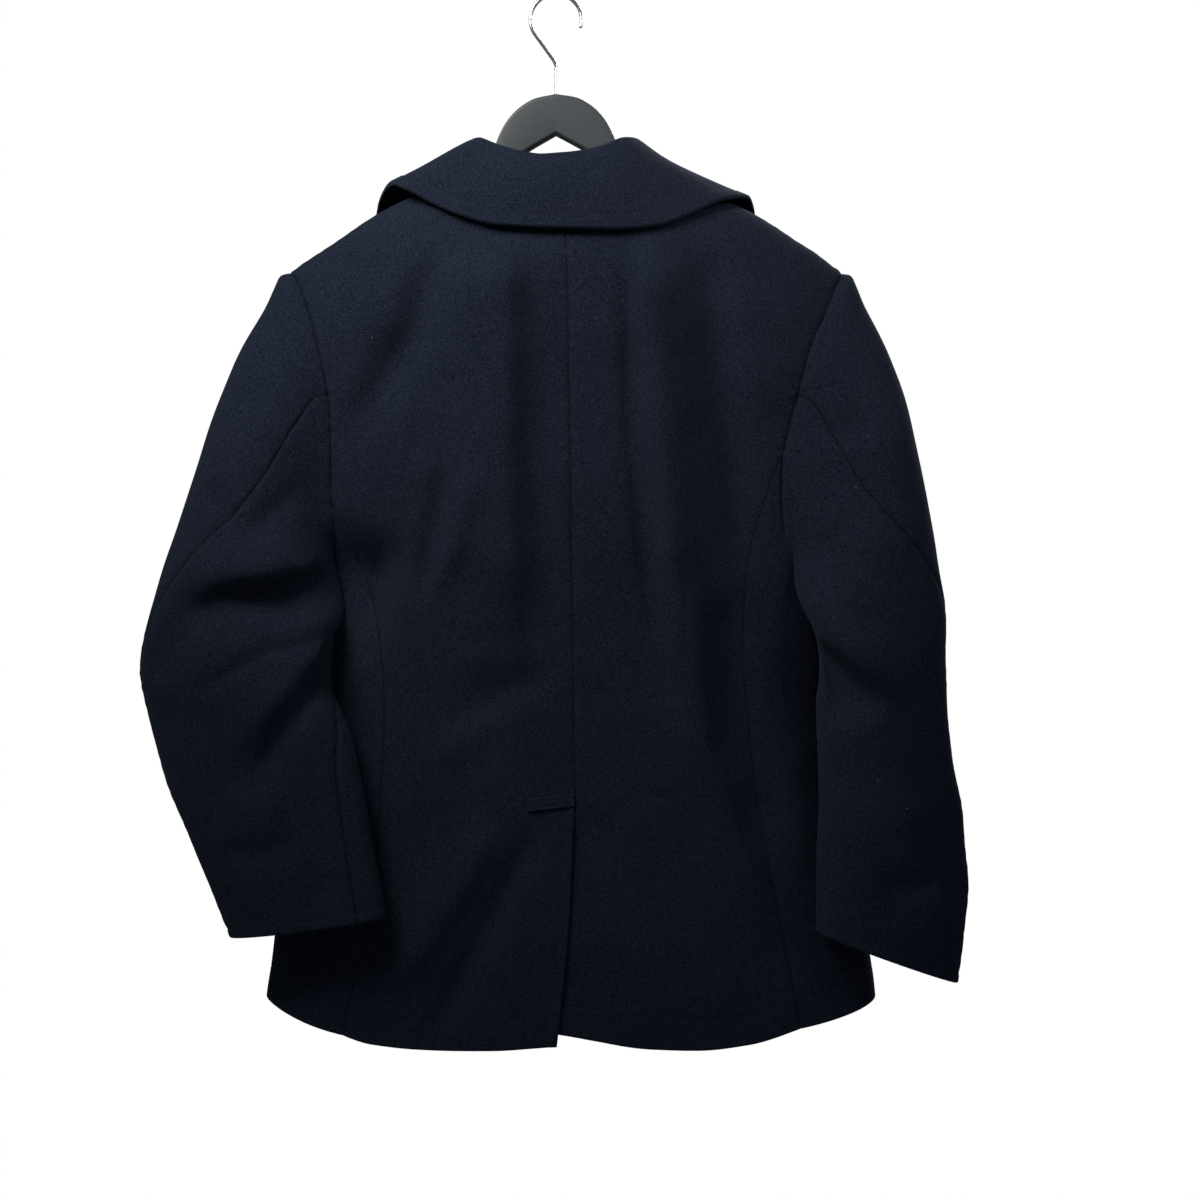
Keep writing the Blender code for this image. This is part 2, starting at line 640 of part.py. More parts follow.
def side_grid(side):
    """The outer points of the panel under the arm, rows from armhole to hem, back seam first."""
    column = "left" if side > 0 else "right"
    back_foot = hem_out(side, SIDE_BACK, column, 1)
    front_foot = hem_out(side, SIDE_FRONT, "out", -1)
    u = np.linspace(0, 1, SIDE_COLUMNS + 1)
    back_join, front_join = JOIN_BACK[side], JOIN_FRONT
    top = armhole_low(side, u)
    corner = TORSO("half_width", HEM_DROP) - 0.004
    x_side = TORSO("centre", HEM_DROP) + side * corner
    hem_side = float(hem_drop(side, x_side, 1))
    bottom = smooth([0, 0.5, 1], [back_foot[1], hem_side, front_foot[1]], u)
    v = np.linspace(0, 1, SEAM_ROWS + 1)[:, None]
    drop = top + (bottom - top) * v
    back_drop = np.linspace(back_join, back_foot[1], SEAM_ROWS + 1)[:, None]
    front_drop = np.linspace(front_join, front_foot[1], SEAM_ROWS + 1)[:, None]
    back_angle = side_angle(SIDE_BACK(column, back_drop), back_drop)
    front_angle = -side_angle(SIDE_FRONT("out", front_drop), front_drop)
    angle = back_angle + (front_angle - back_angle) * u
    out = TORSO("half_width", drop) * np.cos(angle) ** (2 / PLAN_POWER)
    return torso(side, out, drop, np.where(angle >= 0, 1, -1))


# ---- Sleeve surface --------------------------------------------------------------------------
def ring_frame(side, station):
    """Centre, half width vector and half depth vector of the sleeve's rings."""
    table = SLEEVE[side]
    outer, inner = (
        np.stack([table(f"{edge}_x", station), table(f"{edge}_y", station),
                  -table(f"{edge}_drop", station)], -1)
        for edge in ("outer", "inner")
    )
    half_width = (outer - inner) / 2
    across = half_width / np.linalg.norm(half_width, axis=-1, keepdims=True)
    backwards = np.array([0.0, 1.0, 0.0]) - across[..., 1:2] * across
    backwards /= np.linalg.norm(backwards, axis=-1, keepdims=True)
    return (outer + inner) / 2, half_width, backwards * table("half_depth", station)[..., None]


def ring_point(side, station, angle):
    centre, half_width, half_depth = ring_frame(side, station)
    cos, sin = np.cos(angle), np.sin(angle)
    power = 2 / SLEEVE_POWER
    across = np.sign(cos) * np.abs(cos) ** power
    through = np.sign(sin) * np.abs(sin) ** power
    return centre + across[..., None] * half_width + through[..., None] * half_depth


def armhole_low(side, u):
    """Drop of the side panel's top edge, at u from its back seam to its front seam."""
    start = np.where(u < 0.5, JOIN_BACK[side], JOIN_FRONT)
    return ARMHOLE_LOW - (ARMHOLE_LOW - start) * np.abs(2 * u - 1) ** np.where(u < 0.5, 2.6, 1.8)


def clear_of_torso(points, station):
    """Moves points beside the torso that are in it, or too near it, straight out."""
    x, y, drop = points[..., 0], points[..., 1], -points[..., 2]
    out = x - TORSO("centre", drop)
    back = TORSO("back_depth", drop) + fold_height(BACK_FOLDS, x, drop)
    depth = np.where(y > 0, back, TORSO("front_depth", drop))
    across = np.abs(out) / TORSO("half_width", drop)
    reach = (across**PLAN_POWER + (np.abs(y) / depth) ** PLAN_POWER) ** (1 / PLAN_POWER)
    gap = SLEEVE_CLEAR("gap", station)[:, None] * ease((drop - 0.36) / 0.04)
    wanted = 1 + gap / np.hypot(out, y)
    scale = np.where(gap > 0, np.maximum(1, wanted / reach), 1)
    return np.stack([out * scale + TORSO("centre", drop), y * scale, points[..., 2]], -1)


def sleeve_grids(side, back, under, front):
    """The outer points of the upper and under sleeve, from the armhole's points to the cuff."""
    rows = ARMHOLE_ROWS
    loop = np.concatenate([back[: rows + 1, -1], under[0, 1:], front[rows - 1 :: -1, -1]])
    zero = np.zeros(len(loop))
    centre, half_width, half_depth = ring_frame(side, zero)
    away = loop - centre
    cos = (away * half_width).sum(1) / (half_width**2).sum(1)
    sin = (away * half_depth).sum(1) / (half_depth**2).sum(1)
    angle = np.unwrap(np.arctan2(sin, cos))
    angle -= 2 * math.pi * round(angle[0] / (2 * math.pi))
    first = ELBOW_ROW[side]
    last = len(loop) - 1 - FRONT_SEAM_ROW
    station = np.concatenate([[0.0], np.linspace(0.2, LAST_STATION, SLEEVE_ROWS)])
    settle = (1 - np.clip(station / 2, 0, 1)) ** 2
    elbow = np.radians(SLEEVE_SEAMS[side]("elbow", station))
    seam = np.radians(SLEEVE_SEAMS[side]("front", station))
    elbow += (angle[first] - elbow[0]) * settle
    seam += (angle[last] - seam[0]) * settle
    grids = []
    for pick, start, end in (
        (np.arange(first, last + 1), elbow, seam),
        (np.arange(last, len(loop) + first + 1), seam, elbow + 2 * math.pi),
    ):
        own = np.concatenate([angle, angle + 2 * math.pi])[pick]
        share = (own - own[0]) / (own[-1] - own[0])
        angles = start[:, None] + (end - start)[:, None] * share
        stations = np.repeat(station[:, None], len(pick), 1)
        points = ring_point(side, stations, angles)
        error = loop[pick % len(loop)] - points[0]
        fade = (1 - np.clip(station / CAP_STATIONS, 0, 1)) ** 2
        points = points + error[None] * fade[:, None, None]
        facing = ease(np.sin(angles) * 1.5) * ease(station / 3)[:, None]
        rise = fold_height(SLEEVE_FOLDS, points[..., 0], -points[..., 2]) * facing
        points[..., 1] += rise
        width, drop, height = SLEEVE_TUCK[side]
        tuck = width * np.exp(-(((points[..., 2] + drop) / height) ** 2)) * ease(points[..., 1] / 0.03)
        points[..., 0] -= side * tuck * ease(0.5 - 0.8 * np.cos(angles))
        moved = clear_of_torso(points, station)
        moved[0] = loop[pick % len(loop)]
        grids.append(moved)
    return grids[1], grids[0]


# ---- Shell -----------------------------------------------------------------------------------
def key(point):
    return tuple(np.round(point, 6))


def sew(grids):
    """Walls for grids that share points along their seams.

    Each shared point gets one inward step, the full thickness in from every piece that
    meets there, and each piece draws back from its neighbours by half of the seam's gap.
    """
    normals, leanings = {}, {}
    for name, (grid, flip) in grids.items():
        face = np.cross(grid[1:, 1:] - grid[:-1, :-1], grid[1:, :-1] - grid[:-1, 1:])
        face /= np.linalg.norm(face, axis=2, keepdims=True) + 1e-12
        face *= flip
        rows, columns = grid.shape[:2]
        padded = np.pad(grid, ((1, 1), (1, 1), (0, 0)), constant_values=np.nan)
        near = [padded[1 + i : 1 + i + rows, 1 + j : 1 + j + columns]
                for i in (-1, 0, 1) for j in (-1, 0, 1)]
        lean = np.nanmean(near, axis=0) - grid
        down, across = np.gradient(grid, axis=0), np.gradient(grid, axis=1)
        for line, edge in ((across, (slice(None, None, rows - 1), slice(1, -1))),
                           (down, (slice(1, -1), slice(None, None, columns - 1)))):
            along = line[edge] / np.linalg.norm(line[edge], axis=2, keepdims=True)
            lean[edge] -= (lean[edge] * along).sum(2, keepdims=True) * along
        for r, c in np.ndindex(rows, columns):
            around = face[max(r - 1, 0) : r + 1, max(c - 1, 0) : c + 1].reshape(-1, 3).sum(0)
            spot = key(grid[r, c])
            normals.setdefault(spot, []).append(around / (np.linalg.norm(around) + 1e-12))
            leanings.setdefault(spot, {})[name] = lean[r, c] / (np.linalg.norm(lean[r, c]) + 1e-12)
    walls = {}
    for name, (grid, _) in grids.items():
        outer, inner = grid.copy(), grid.copy()
        for r, c in np.ndindex(*grid.shape[:2]):
            spot = key(grid[r, c])
            step = np.linalg.lstsq(np.array(normals[spot]), np.ones(len(normals[spot])), 0.1)[0]
            step *= CLOTH * min(1, MITRE_LIMIT / (np.linalg.norm(step) + 1e-12))
            others = [lean for other, lean in leanings[spot].items() if other != name]
            shift = 0
            if others:
                shift = leanings[spot][name] - np.mean(others, axis=0)
                shift = shift / (np.linalg.norm(shift) + 1e-12) * SEAM_GAP * 0.6
            outer[r, c] = grid[r, c] + shift
            inner[r, c] = grid[r, c] + shift - step
        walls[name] = (outer, inner)
    return walls


def build_shell():
    """Back, side and front panels and both pieces of each sleeve, as thin walls."""
    grids = {}
    for side, word in ((1, "left"), (-1, "right")):
        back, under, front = back_grid(side), side_grid(side), front_grid(side)
        upper_sleeve, under_sleeve = sleeve_grids(side, back, under, front)
        grids[f"back_{word}"] = (back, side)
        grids[f"side_{word}"] = (under, side)
        grids[f"front_{word}"] = (front, -side)
        grids[f"sleeve_upper_{word}"] = (upper_sleeve, -side)
        grids[f"sleeve_under_{word}"] = (under_sleeve, -side)
    for name, (outer, inner) in sew(grids).items():
        wall(name, outer, inner)
    return grids


# ---- Collar and lapels -----------------------------------------------------------------------
def hook_section(base, roll, edge, up, radius, bulge):
    """One section of a collar, in its own plane: its face and its back, from base to edge.

    It rises from base, turns over at roll and falls to edge, with up square to the fall.
    """
    along = (edge - roll) / np.linalg.norm(edge - roll)
    up = up - np.dot(up, along) * along
    up /= np.linalg.norm(up)
    centre = roll + radius * along
    away = np.cross(along, up)

    def tangent(point, turn):
        flat = np.array([np.dot(point - centre, along), np.dot(point - centre, up)])
        reach = max(np.linalg.norm(flat), radius)
        return (math.atan2(flat[1], flat[0]) + turn * math.acos(radius / reach)) % (2 * math.pi)

    turns = np.linspace(max(tangent(base, -1), math.pi), tangent(edge, 1), COLLAR_ARC)
    arc = centre + radius * (np.outer(np.cos(turns), along) + np.outer(np.sin(turns), up))
    w = np.linspace(0, 1, COLLAR_FALL + 1)[1:, None]
    fall = arc[-1] + w * (edge - arc[-1]) + up * bulge * np.sin(math.pi * w**0.8)
    v = np.linspace(0, 1, 3)[:-1, None]
    face = np.concatenate([base + v * (arc[0] - base), arc, fall])
    step = np.gradient(face, axis=0)
    normal = np.cross(away, step)
    normal /= np.linalg.norm(normal, axis=1, keepdims=True)
    return face, face - normal * COLLAR_CLOTH


def neck_points(shares):
    """Places along the neckline's panel edges, a straight stretch at a time."""
    corners = np.interp(np.arange(17), [0, 4, 12, 16], [0, 0.3, 0.7, 1])
    out, drop = neckline(corners)
    side = np.where(corners < 0.5, 1, -1)
    face = np.where((corners >= 0.3) & (corners <= 0.7), 1, -1)
    points = np.stack([torso(k, k * o, d, f) for k, o, d, f in zip(side, out, drop, face)])
    return np.stack([np.interp(shares, corners, column) for column in points.T], -1)


def build_collar():
    """One piece from gorge to gorge: a stand at the back that runs out to the front."""
    shares = np.interp(np.arange(33), [0, 8, 24, 32], [0, 0.3, 0.7, 1])
    roll, edge = (
        np.stack([COLLAR(f"{k}_x", shares), COLLAR(f"{k}_y", shares), -COLLAR(f"{k}_drop", shares)], -1)
        for k in ("roll", "edge")
    )
    neck = neck_points(shares)
    tangent = np.gradient(roll, axis=0)
    faces, backs = [], []
    for s, one, place, tip, way in zip(shares, neck, roll, edge, tangent):
        up = np.cross(way, tip - place)
        up *= np.sign(np.dot(up, [0, place[1] * 15, 1])) / np.linalg.norm(up)
        front = float(np.clip((abs(s - 0.5) - 0.44) / 0.06, 0, 1))
        inwards = np.array([-one[0], -0.3 * one[1], 0.05 - 0.02 * front])
        inwards /= np.linalg.norm(inwards)
        base = one + inwards * (0.0020 + 0.0020 * front) - up * CLOTH * front
        bulge = COLLAR_BULGE * abs(math.cos(math.pi * (s - 0.5) / 0.4))
        face, back = hook_section(base, place, tip, up, COLLAR_ROLL, bulge)
        faces.append(face)
        backs.append(back)
    wall("collar", np.array(faces), np.array(backs))


def build_lapel(side, word):
    """A lapel: from the front's edge it turns over and lies on the front.

    The right one ends where the left front crosses it.
    """
    share = np.linspace(0, 1, LAPEL_ROWS + 1)
    roll = roll_line(share * LAPEL_SHOWN[side][0])
    reach = share * LAPEL_SHOWN[side][1]
    edge = np.stack([LAPEL_EDGE("out", reach), LAPEL_EDGE("drop", reach)], -1)
    w = np.linspace(0, 1, 7)
    places = roll[:, None] + (edge - roll)[:, None] * w[:, None]
    meet = np.array(GORGE) + NOTCH * np.subtract(COLLAR_TIP, GORGE)
    bent = sampled([GORGE, meet, LAPEL_TIP], w)
    places += (bent - places[0])[None] * np.clip(1 - share / 0.3, 0, 1)[:, None, None]
    places[..., 1] += 0.0016

    def face(depth):
        """The lapel's surface at a depth in its cloth."""
        fall = front_surface(side, places[..., 0], places[..., 1], LAPEL_RISE - depth)
        low = front_surface(side, places[:, 0, 0], places[:, 0, 1])
        over = front_surface(side, places[:, 0, 0], places[:, 0, 1], 1.0) - low
        away = fall[:, 1] - fall[:, 0]
        away -= (away * over).sum(1, keepdims=True) * over
        away /= np.linalg.norm(away, axis=1, keepdims=True)
        centre = low + over * (LAPEL_RISE - LAPEL_ROLL) - away * 0.0015
        arc = centre[:, None] + (LAPEL_ROLL - depth) * (
            np.sin(turns)[:, None] * over[:, None] - np.cos(turns)[:, None] * away[:, None]
        )
        return np.concatenate([arc, fall[:, 1:]], axis=1)

    turns = np.radians([-90, -45, 0, 45, 90])
    wall(f"lapel_{word}", face(0), face(LAPEL_CLOTH))


# ---- Buttons, welts and vent bar -------------------------------------------------------------
def surface_frame(surface, out, drop):
    """A point of a surface and a rotation that turns +Z to its outward normal."""
    step = 0.004
    point, right, low = surface(out, drop), surface(out + step, drop), surface(out, drop + step)
    normal = Vector(np.cross(right - point, low - point)).normalized()
    if normal.dot(Vector((point[0], point[1], 0))) < 0:
        normal.negate()
    return Vector(point), normal.to_track_quat("Z", "Y")


def build_buttons():
    """Two columns of four, all on the left front, each a dished disc."""
    profile = [(0, 0), (0.8, 0), (1, 0.35), (1, 0.75), (0.93, 1), (0.8, 0.95), (0.7, 0.62), (0, 0.55)]
    for column, across in (("left", BUTTON_OUT), ("right", -BUTTON_OUT)):
        for number, drop in enumerate(BUTTON_DROPS, 1):
            mesh = bpy.data.meshes.new(f"button_{column}_{number}")
            bm = bmesh.new()
            points = [bm.verts.new((BUTTON_RADIUS * r, 0, BUTTON_DEPTH * h)) for r, h in profile]
            edges = [bm.edges.new(pair) for pair in zip(points[:-1], points[1:])]
            bmesh.ops.spin(
                bm, geom=points + edges, axis=(0, 0, 1), cent=(0, 0, 0), steps=20, angle=2 * math.pi
            )
            bmesh.ops.remove_doubles(bm, verts=bm.verts, dist=0.00001)
            bmesh.ops.recalc_face_normals(bm, faces=bm.faces)
            bm.to_mesh(mesh)
            bm.free()
            button = add(mesh.name, mesh, "button")
            place = surface_frame(lambda o, d: front_surface(1, o, d, REST_GAP + 0.0003), across, drop)
            button.location = place[0]
            button.rotation_mode = "QUATERNION"
            button.rotation_quaternion = place[1]


def strip(name, surface, corners, rows, columns, rise):
    """A strip of cloth that lies on a surface, between four corners given as places on it."""
    v, u = np.meshgrid(np.linspace(0, 1, rows + 1), np.linspace(0, 1, columns + 1), indexing="ij")
    near_top, far_top, near_foot, far_foot = (np.array(c) for c in corners)
    u, v = u[..., None], v[..., None]
    places = (1 - v) * ((1 - u) * near_top + u * far_top) + v * ((1 - u) * near_foot + u * far_foot)
    outer = surface(places[..., 0], places[..., 1], REST_GAP * 2 + rise)
    wall(name, outer, surface(places[..., 0], places[..., 1], REST_GAP * 2))


def build_welts():
    for side, word in ((1, "left"), (-1, "right")):
        inner = WELT_OUT - WELT_WIDTH / 2
        corners = [
            (inner, WELT_TOP),
            (inner + WELT_WIDTH, WELT_TOP + 0.002),
            (inner + WELT_LEAN, WELT_FOOT),
            (inner + WELT_LEAN + WELT_WIDTH, WELT_FOOT + 0.002),
        ]
        strip(f"pocket_welt_{word}", lambda o, d, r, k=side: front_surface(k, o, d, r), corners, 8, 2, CLOTH)


def build_vent_bar():
    centre = float(TORSO("centre", VENT_TOP))
    near, far = np.array([-0.0150 - centre, 0.6765]), np.array([-0.0150 + BAR_LENGTH - centre, 0.6815])
    low = np.array([0, BAR_WIDTH])
    corners = [near, far, near + low, far + low]
    strip("vent_bar", lambda o, d, r: torso(1, o, d, 1, r), corners, 1, 4, BAR_RISE)


# ---- Hanger ----------------------------------------------------------------------------------
def build_hanger():
    """A flat plastic hanger: one rounded section for each station across it."""
    half = HANGER_THICK / 2
    arm = np.linspace(HANGER_ARM, HANGER_HALF - 0.004, 8)
    across = np.concatenate([HANGER.rows[:-2, 0], arm, [HANGER_HALF]])
    across = np.unique(np.concatenate([-across, across]))
    bm = bmesh.new()
    rings = []
    for x in across:
        top, foot = HANGER("top", abs(x)), HANGER("foot", abs(x))
        if abs(x) >= HANGER_ARM:
            share = (abs(x) - HANGER_ARM) / (HANGER_HALF - HANGER_ARM)
            top = SHOULDER("drop", abs(x)) + HANGER_SEAT + 0.0018 * share**2
            foot = top + 0.0205 - 0.004 * share
        top, foot = top + HANGER_TILT * x, foot + HANGER_TILT * x
        shrink = 0.0 if abs(x) < HANGER_HALF - 0.001 else 0.004
        side = half - shrink / 2
        corner = HANGER_ROUND
        outline = []
        for turn_y, drop, level in ((1, top, 1), (-1, top, 1), (-1, foot, -1), (1, foot, -1)):
            for step in (0, 45, 90):
                angle = math.radians(step if turn_y * level > 0 else 90 - step)
                y = turn_y * (side - corner + corner * math.cos(angle))
                z = -drop + level * (corner * math.sin(angle) - corner - shrink)
                outline.append(bm.verts.new((x, y, z)))
        rings.append(outline)
    for one, two in zip(rings[:-1], rings[1:]):
        for i in range(len(one)):
            j = (i + 1) % len(one)
            bm.faces.new((one[i], one[j], two[j], two[i]))
    bm.faces.new(rings[0])
    bm.faces.new(rings[-1][::-1])
    bmesh.ops.recalc_face_normals(bm, faces=bm.faces)
    mesh = bpy.data.meshes.new("hanger")
    bm.to_mesh(mesh)
    bm.free()
    add("hanger", mesh, "plastic")


def build_hook():
    """The wire hook: a stem out of the hanger, a bend to one side and an open circle."""
    low = HOOK_RADIUS - WIRE_RADIUS
    turns = np.radians(np.linspace(HOOK_START, HOOK_END, 22))
    route = [(0, 0, 0.0003 - HANGER.rows[0, 1]), (0, 0, -STEM_BEND - 0.002)]
    route += [(0.0012, 0, -STEM_BEND + 0.0015)]
    route += [(HOOK_RADIUS * math.cos(a), 0, HOOK_RADIUS * math.sin(a) - low) for a in turns]
    curve = bpy.data.curves.new("hook", "CURVE")
    curve.dimensions = "3D"
    curve.bevel_depth = WIRE_RADIUS
    curve.bevel_resolution = 2
    curve.use_fill_caps = True
    spline = curve.splines.new("POLY")
    spline.points.add(len(route) - 1)
    for point, place in zip(spline.points, route):
        point.co = (*place, 1)
    curve.materials.append(material("chrome"))
    made = bpy.data.objects.new("hook", curve)
    COLLECTION.objects.link(made)


def main():
    build_shell()
    build_collar()
    build_lapel(1, "left")
    build_lapel(-1, "right")
    build_buttons()
    build_welts()
    build_vent_bar()
    build_hanger()
    build_hook()


for old in list(bpy.data.objects):
    bpy.data.objects.remove(old)
COLLECTION = bpy.data.collections.new("pea_coat")
bpy.context.scene.collection.children.link(COLLECTION)
main()
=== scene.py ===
"""Looks of a navy wool pea coat that hangs from a dark plastic hanger with a wire hook.

The frame is in metres, +Z up. The coat faces -Y, its back faces +Y and the wearer's left is +X.
The origin is the inside of the hook's bend, so a place below it is given as a drop, which is -z.
A place on the torso is given by out, its distance from the coat's centre line, and by a face.
"""

import logging
import math
from dataclasses import dataclass, field
from enum import Enum, IntEnum
from typing import Any, Callable, Sequence

import bmesh
import bpy
import numpy as np
from bpy.types import Material, Mesh, Object
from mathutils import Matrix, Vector


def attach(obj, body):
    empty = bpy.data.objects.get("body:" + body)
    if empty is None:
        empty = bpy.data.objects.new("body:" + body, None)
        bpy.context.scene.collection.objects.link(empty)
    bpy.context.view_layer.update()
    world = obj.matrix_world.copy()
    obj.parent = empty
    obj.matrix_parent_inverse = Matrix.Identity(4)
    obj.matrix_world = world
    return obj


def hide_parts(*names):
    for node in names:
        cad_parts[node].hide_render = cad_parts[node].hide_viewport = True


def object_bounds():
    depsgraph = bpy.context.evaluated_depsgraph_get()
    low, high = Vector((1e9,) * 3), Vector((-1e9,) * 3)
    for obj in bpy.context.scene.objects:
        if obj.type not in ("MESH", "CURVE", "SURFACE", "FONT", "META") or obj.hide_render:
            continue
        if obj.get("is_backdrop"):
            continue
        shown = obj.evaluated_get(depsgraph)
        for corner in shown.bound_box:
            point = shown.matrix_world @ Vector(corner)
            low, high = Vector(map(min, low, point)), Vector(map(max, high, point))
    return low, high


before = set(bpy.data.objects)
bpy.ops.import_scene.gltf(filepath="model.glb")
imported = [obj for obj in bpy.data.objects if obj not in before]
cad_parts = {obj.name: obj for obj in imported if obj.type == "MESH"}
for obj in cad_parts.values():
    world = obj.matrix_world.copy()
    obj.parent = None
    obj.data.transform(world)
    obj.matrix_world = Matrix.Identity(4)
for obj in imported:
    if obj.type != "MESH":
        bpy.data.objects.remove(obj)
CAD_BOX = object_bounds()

Grid = np.ndarray
Rows = Sequence[Sequence[float]]
Colour = tuple[float, float, float, float]
LOG = logging.getLogger("pea_coat")

SUB = 5  # fine rows or columns of cloth for each one of its plain form
CLOTH = 0.0025  # one layer of melton wool
SEAM_GAP = 0.00003  # between pieces at a seam
MITRE_LIMIT = 2.5  # how far a corner's inner point may lie from its outer one, in cloths
REST_GAP = 0.0004  # between a piece and what it lies on
LAYER = CLOTH + 0.0009  # from one layer to the next where the front or the vent laps over
LAP_OUT = (0.138, 0.035)  # how far out the left front is lifted over the right one, and its fade
LAP_DROP = (0.235, 0.045)  # how far down that lift starts, and its fade
RNG_SEED = 11


class Side(IntEnum):
    """The wearer's left or right."""

    LEFT = 1
    RIGHT = -1

    @property
    def word(self) -> str:
        """Its name in the names of the pieces."""
        return self.name.lower()


class Face(IntEnum):
    """The back or the front of the coat."""

    BACK = 1
    FRONT = -1


class Brink(Enum):
    """The four sides of a piece's grid of rows and columns."""

    FIRST_ROW = "first row"
    LAST_ROW = "last row"
    FIRST_COLUMN = "first column"
    LAST_COLUMN = "last column"


ACROSS = (Brink.FIRST_ROW, Brink.LAST_ROW)


class Held(Enum):
    """How a piece of cloth is held."""

    HUNG = "hung"
    FOLDED = "folded"
    LAID = "laid"


# ---- Tables ----------------------------------------------------------------------------------
def smooth(xs: Grid, ys: Grid, where: Grid) -> Grid:
    """Reads rows of numbers smoothly between their places.

    Args:
        xs: rising places of the rows.
        ys: their values.
        where: places to read.

    Returns:
        Values of a cubic through every row, which never overshoots a row.
    """
    xs, ys = np.asarray(xs, float), np.asarray(ys, float)
    where = np.clip(where, xs[0], xs[-1])
    slope = np.diff(ys) / np.diff(xs)
    both, total = slope[:-1] * slope[1:], slope[:-1] + slope[1:]
    turning = both <= 0
    inner = np.where(turning, 0, 2 * both / np.where(turning, 1, total))
    tangent = np.concatenate([slope[:1], inner, slope[-1:]])
    i = np.clip(np.searchsorted(xs, where, side="right") - 1, 0, len(xs) - 2)
    step = xs[i + 1] - xs[i]
    t = (where - xs[i]) / step
    return (
        ys[i] * (1 + 2 * t) * (1 - t) ** 2
        + ys[i + 1] * t * t * (3 - 2 * t)
        + step * tangent[i] * t * (1 - t) ** 2
        - step * tangent[i + 1] * t * t * (1 - t)
    )


def ease(t: Any) -> Any:
    """0 up to t = 0, 1 from t = 1, and smooth between."""
    t = np.clip(t, 0, 1)
    return t * t * (3 - 2 * t)


class Table:
    """Rows with named columns, read smoothly along the first column."""

    def __init__(self, names: str, rows: Rows) -> None:
        """Keeps the rows.

        Args:
            names: the columns' names, with spaces between.
            rows: the numbers, rising along the first column.
        """
        self.names = names.split()
        self.rows = np.array(rows, float)

    def __call__(self, name: str, where: Any) -> Grid:
        """The column called name at where."""
        return smooth(self.rows[:, 0], self.rows[:, self.names.index(name)], where)

    def points(self, line: str, where: Any) -> Grid:
        """Points of a line that has columns for x, y and drop."""
        x, y, drop = (self(f"{line}_{axis}", where) for axis in ("x", "y", "drop"))
        return np.stack([x, y, -drop], -1)


def sided(names: str, left: Rows, right: Rows) -> dict[Side, Table]:
    """A table for each side of the coat."""
    return {Side.LEFT: Table(names, left), Side.RIGHT: Table(names, right)}


TORSO = Table(
    "drop half_width back_depth front_depth centre",
    [
        (0.12, 0.262, 0.064, 0.066, 0.0040), (0.20, 0.262, 0.066, 0.070, -0.0085),
        (0.30, 0.252, 0.071, 0.078, -0.0085), (0.40, 0.242, 0.073, 0.083, -0.0090),
        (0.50, 0.230, 0.070, 0.080, -0.0100), (0.60, 0.225, 0.066, 0.074, -0.0105),
        (0.70, 0.235, 0.067, 0.072, -0.0115), (0.80, 0.252, 0.072, 0.075, -0.0130),
        (0.90, 0.263, 0.076, 0.079, -0.0130),
    ],
)
SHOULDER = Table(
    "out drop",
    [
        (0.000, 0.1500), (0.070, 0.1560), (0.110, 0.1655), (0.140, 0.1765), (0.168, 0.1904),
        (0.200, 0.2117), (0.234, 0.2350),
    ],
)
# The seams of the back hang differently on the wearer's left and right.
ARMHOLE_BACK = Table(
    "drop left right",
    [
        (0.235, 0.2340, 0.2340), (0.245, 0.2255, 0.2290), (0.278, 0.2113, 0.2140),
        (0.304, 0.2040, 0.2023), (0.333, 0.1975, 0.1940), (0.353, 0.1945, 0.1885),
        (0.394, 0.1935, 0.1784), (0.434, 0.1935, 0.1710),
    ],
)
SIDE_BACK = Table(
    "drop left right",
    [
        (0.394, 0.2100, 0.1784), (0.434, 0.1935, 0.1630), (0.475, 0.1750, 0.1510),
        (0.520, 0.1600, 0.1460), (0.560, 0.1530, 0.1450), (0.600, 0.1510, 0.1480),
        (0.650, 0.1530, 0.1530), (0.700, 0.1570, 0.1600), (0.750, 0.1630, 0.1680),
        (0.800, 0.1720, 0.1780), (0.870, 0.1870, 0.1910),
    ],
)
ARMHOLE_FRONT = Table(
    "drop out",
    [
        (0.235, 0.2340), (0.250, 0.2180), (0.280, 0.2020), (0.320, 0.1900), (0.360, 0.1840),
        (0.420, 0.1860),
    ],
)
SIDE_FRONT = Table(
    "drop out",
    [
        (0.420, 0.1860), (0.500, 0.1780), (0.600, 0.1780), (0.700, 0.1860), (0.800, 0.1960),
        (0.870, 0.2040),
    ],
)
HEM_BACK = sided(
    "x drop",
    [
        (-0.020, 0.8750), (0.000, 0.8755), (0.050, 0.8790), (0.100, 0.8795), (0.150, 0.8765),
        (0.175, 0.8700), (0.205, 0.8560), (0.225, 0.8510), (0.252, 0.8480),
    ],
    [
        (-0.275, 0.8480), (-0.245, 0.8530), (-0.200, 0.8660), (-0.160, 0.8760), (-0.120, 0.8795),
        (-0.080, 0.8780), (-0.035, 0.8715), (-0.003, 0.8660),
    ],
)
VENT_EDGE = Table("drop x", [(0.6745, -0.0170), (0.780, -0.0120), (0.880, -0.0020)])
LAPEL_EDGE = Table(
    "share out drop",
    [
        (0.00, 0.168, 0.262), (0.12, 0.158, 0.288), (0.40, 0.092, 0.354), (0.70, 0.008, 0.409),
        (1.00, -0.088, 0.444),
    ],
)
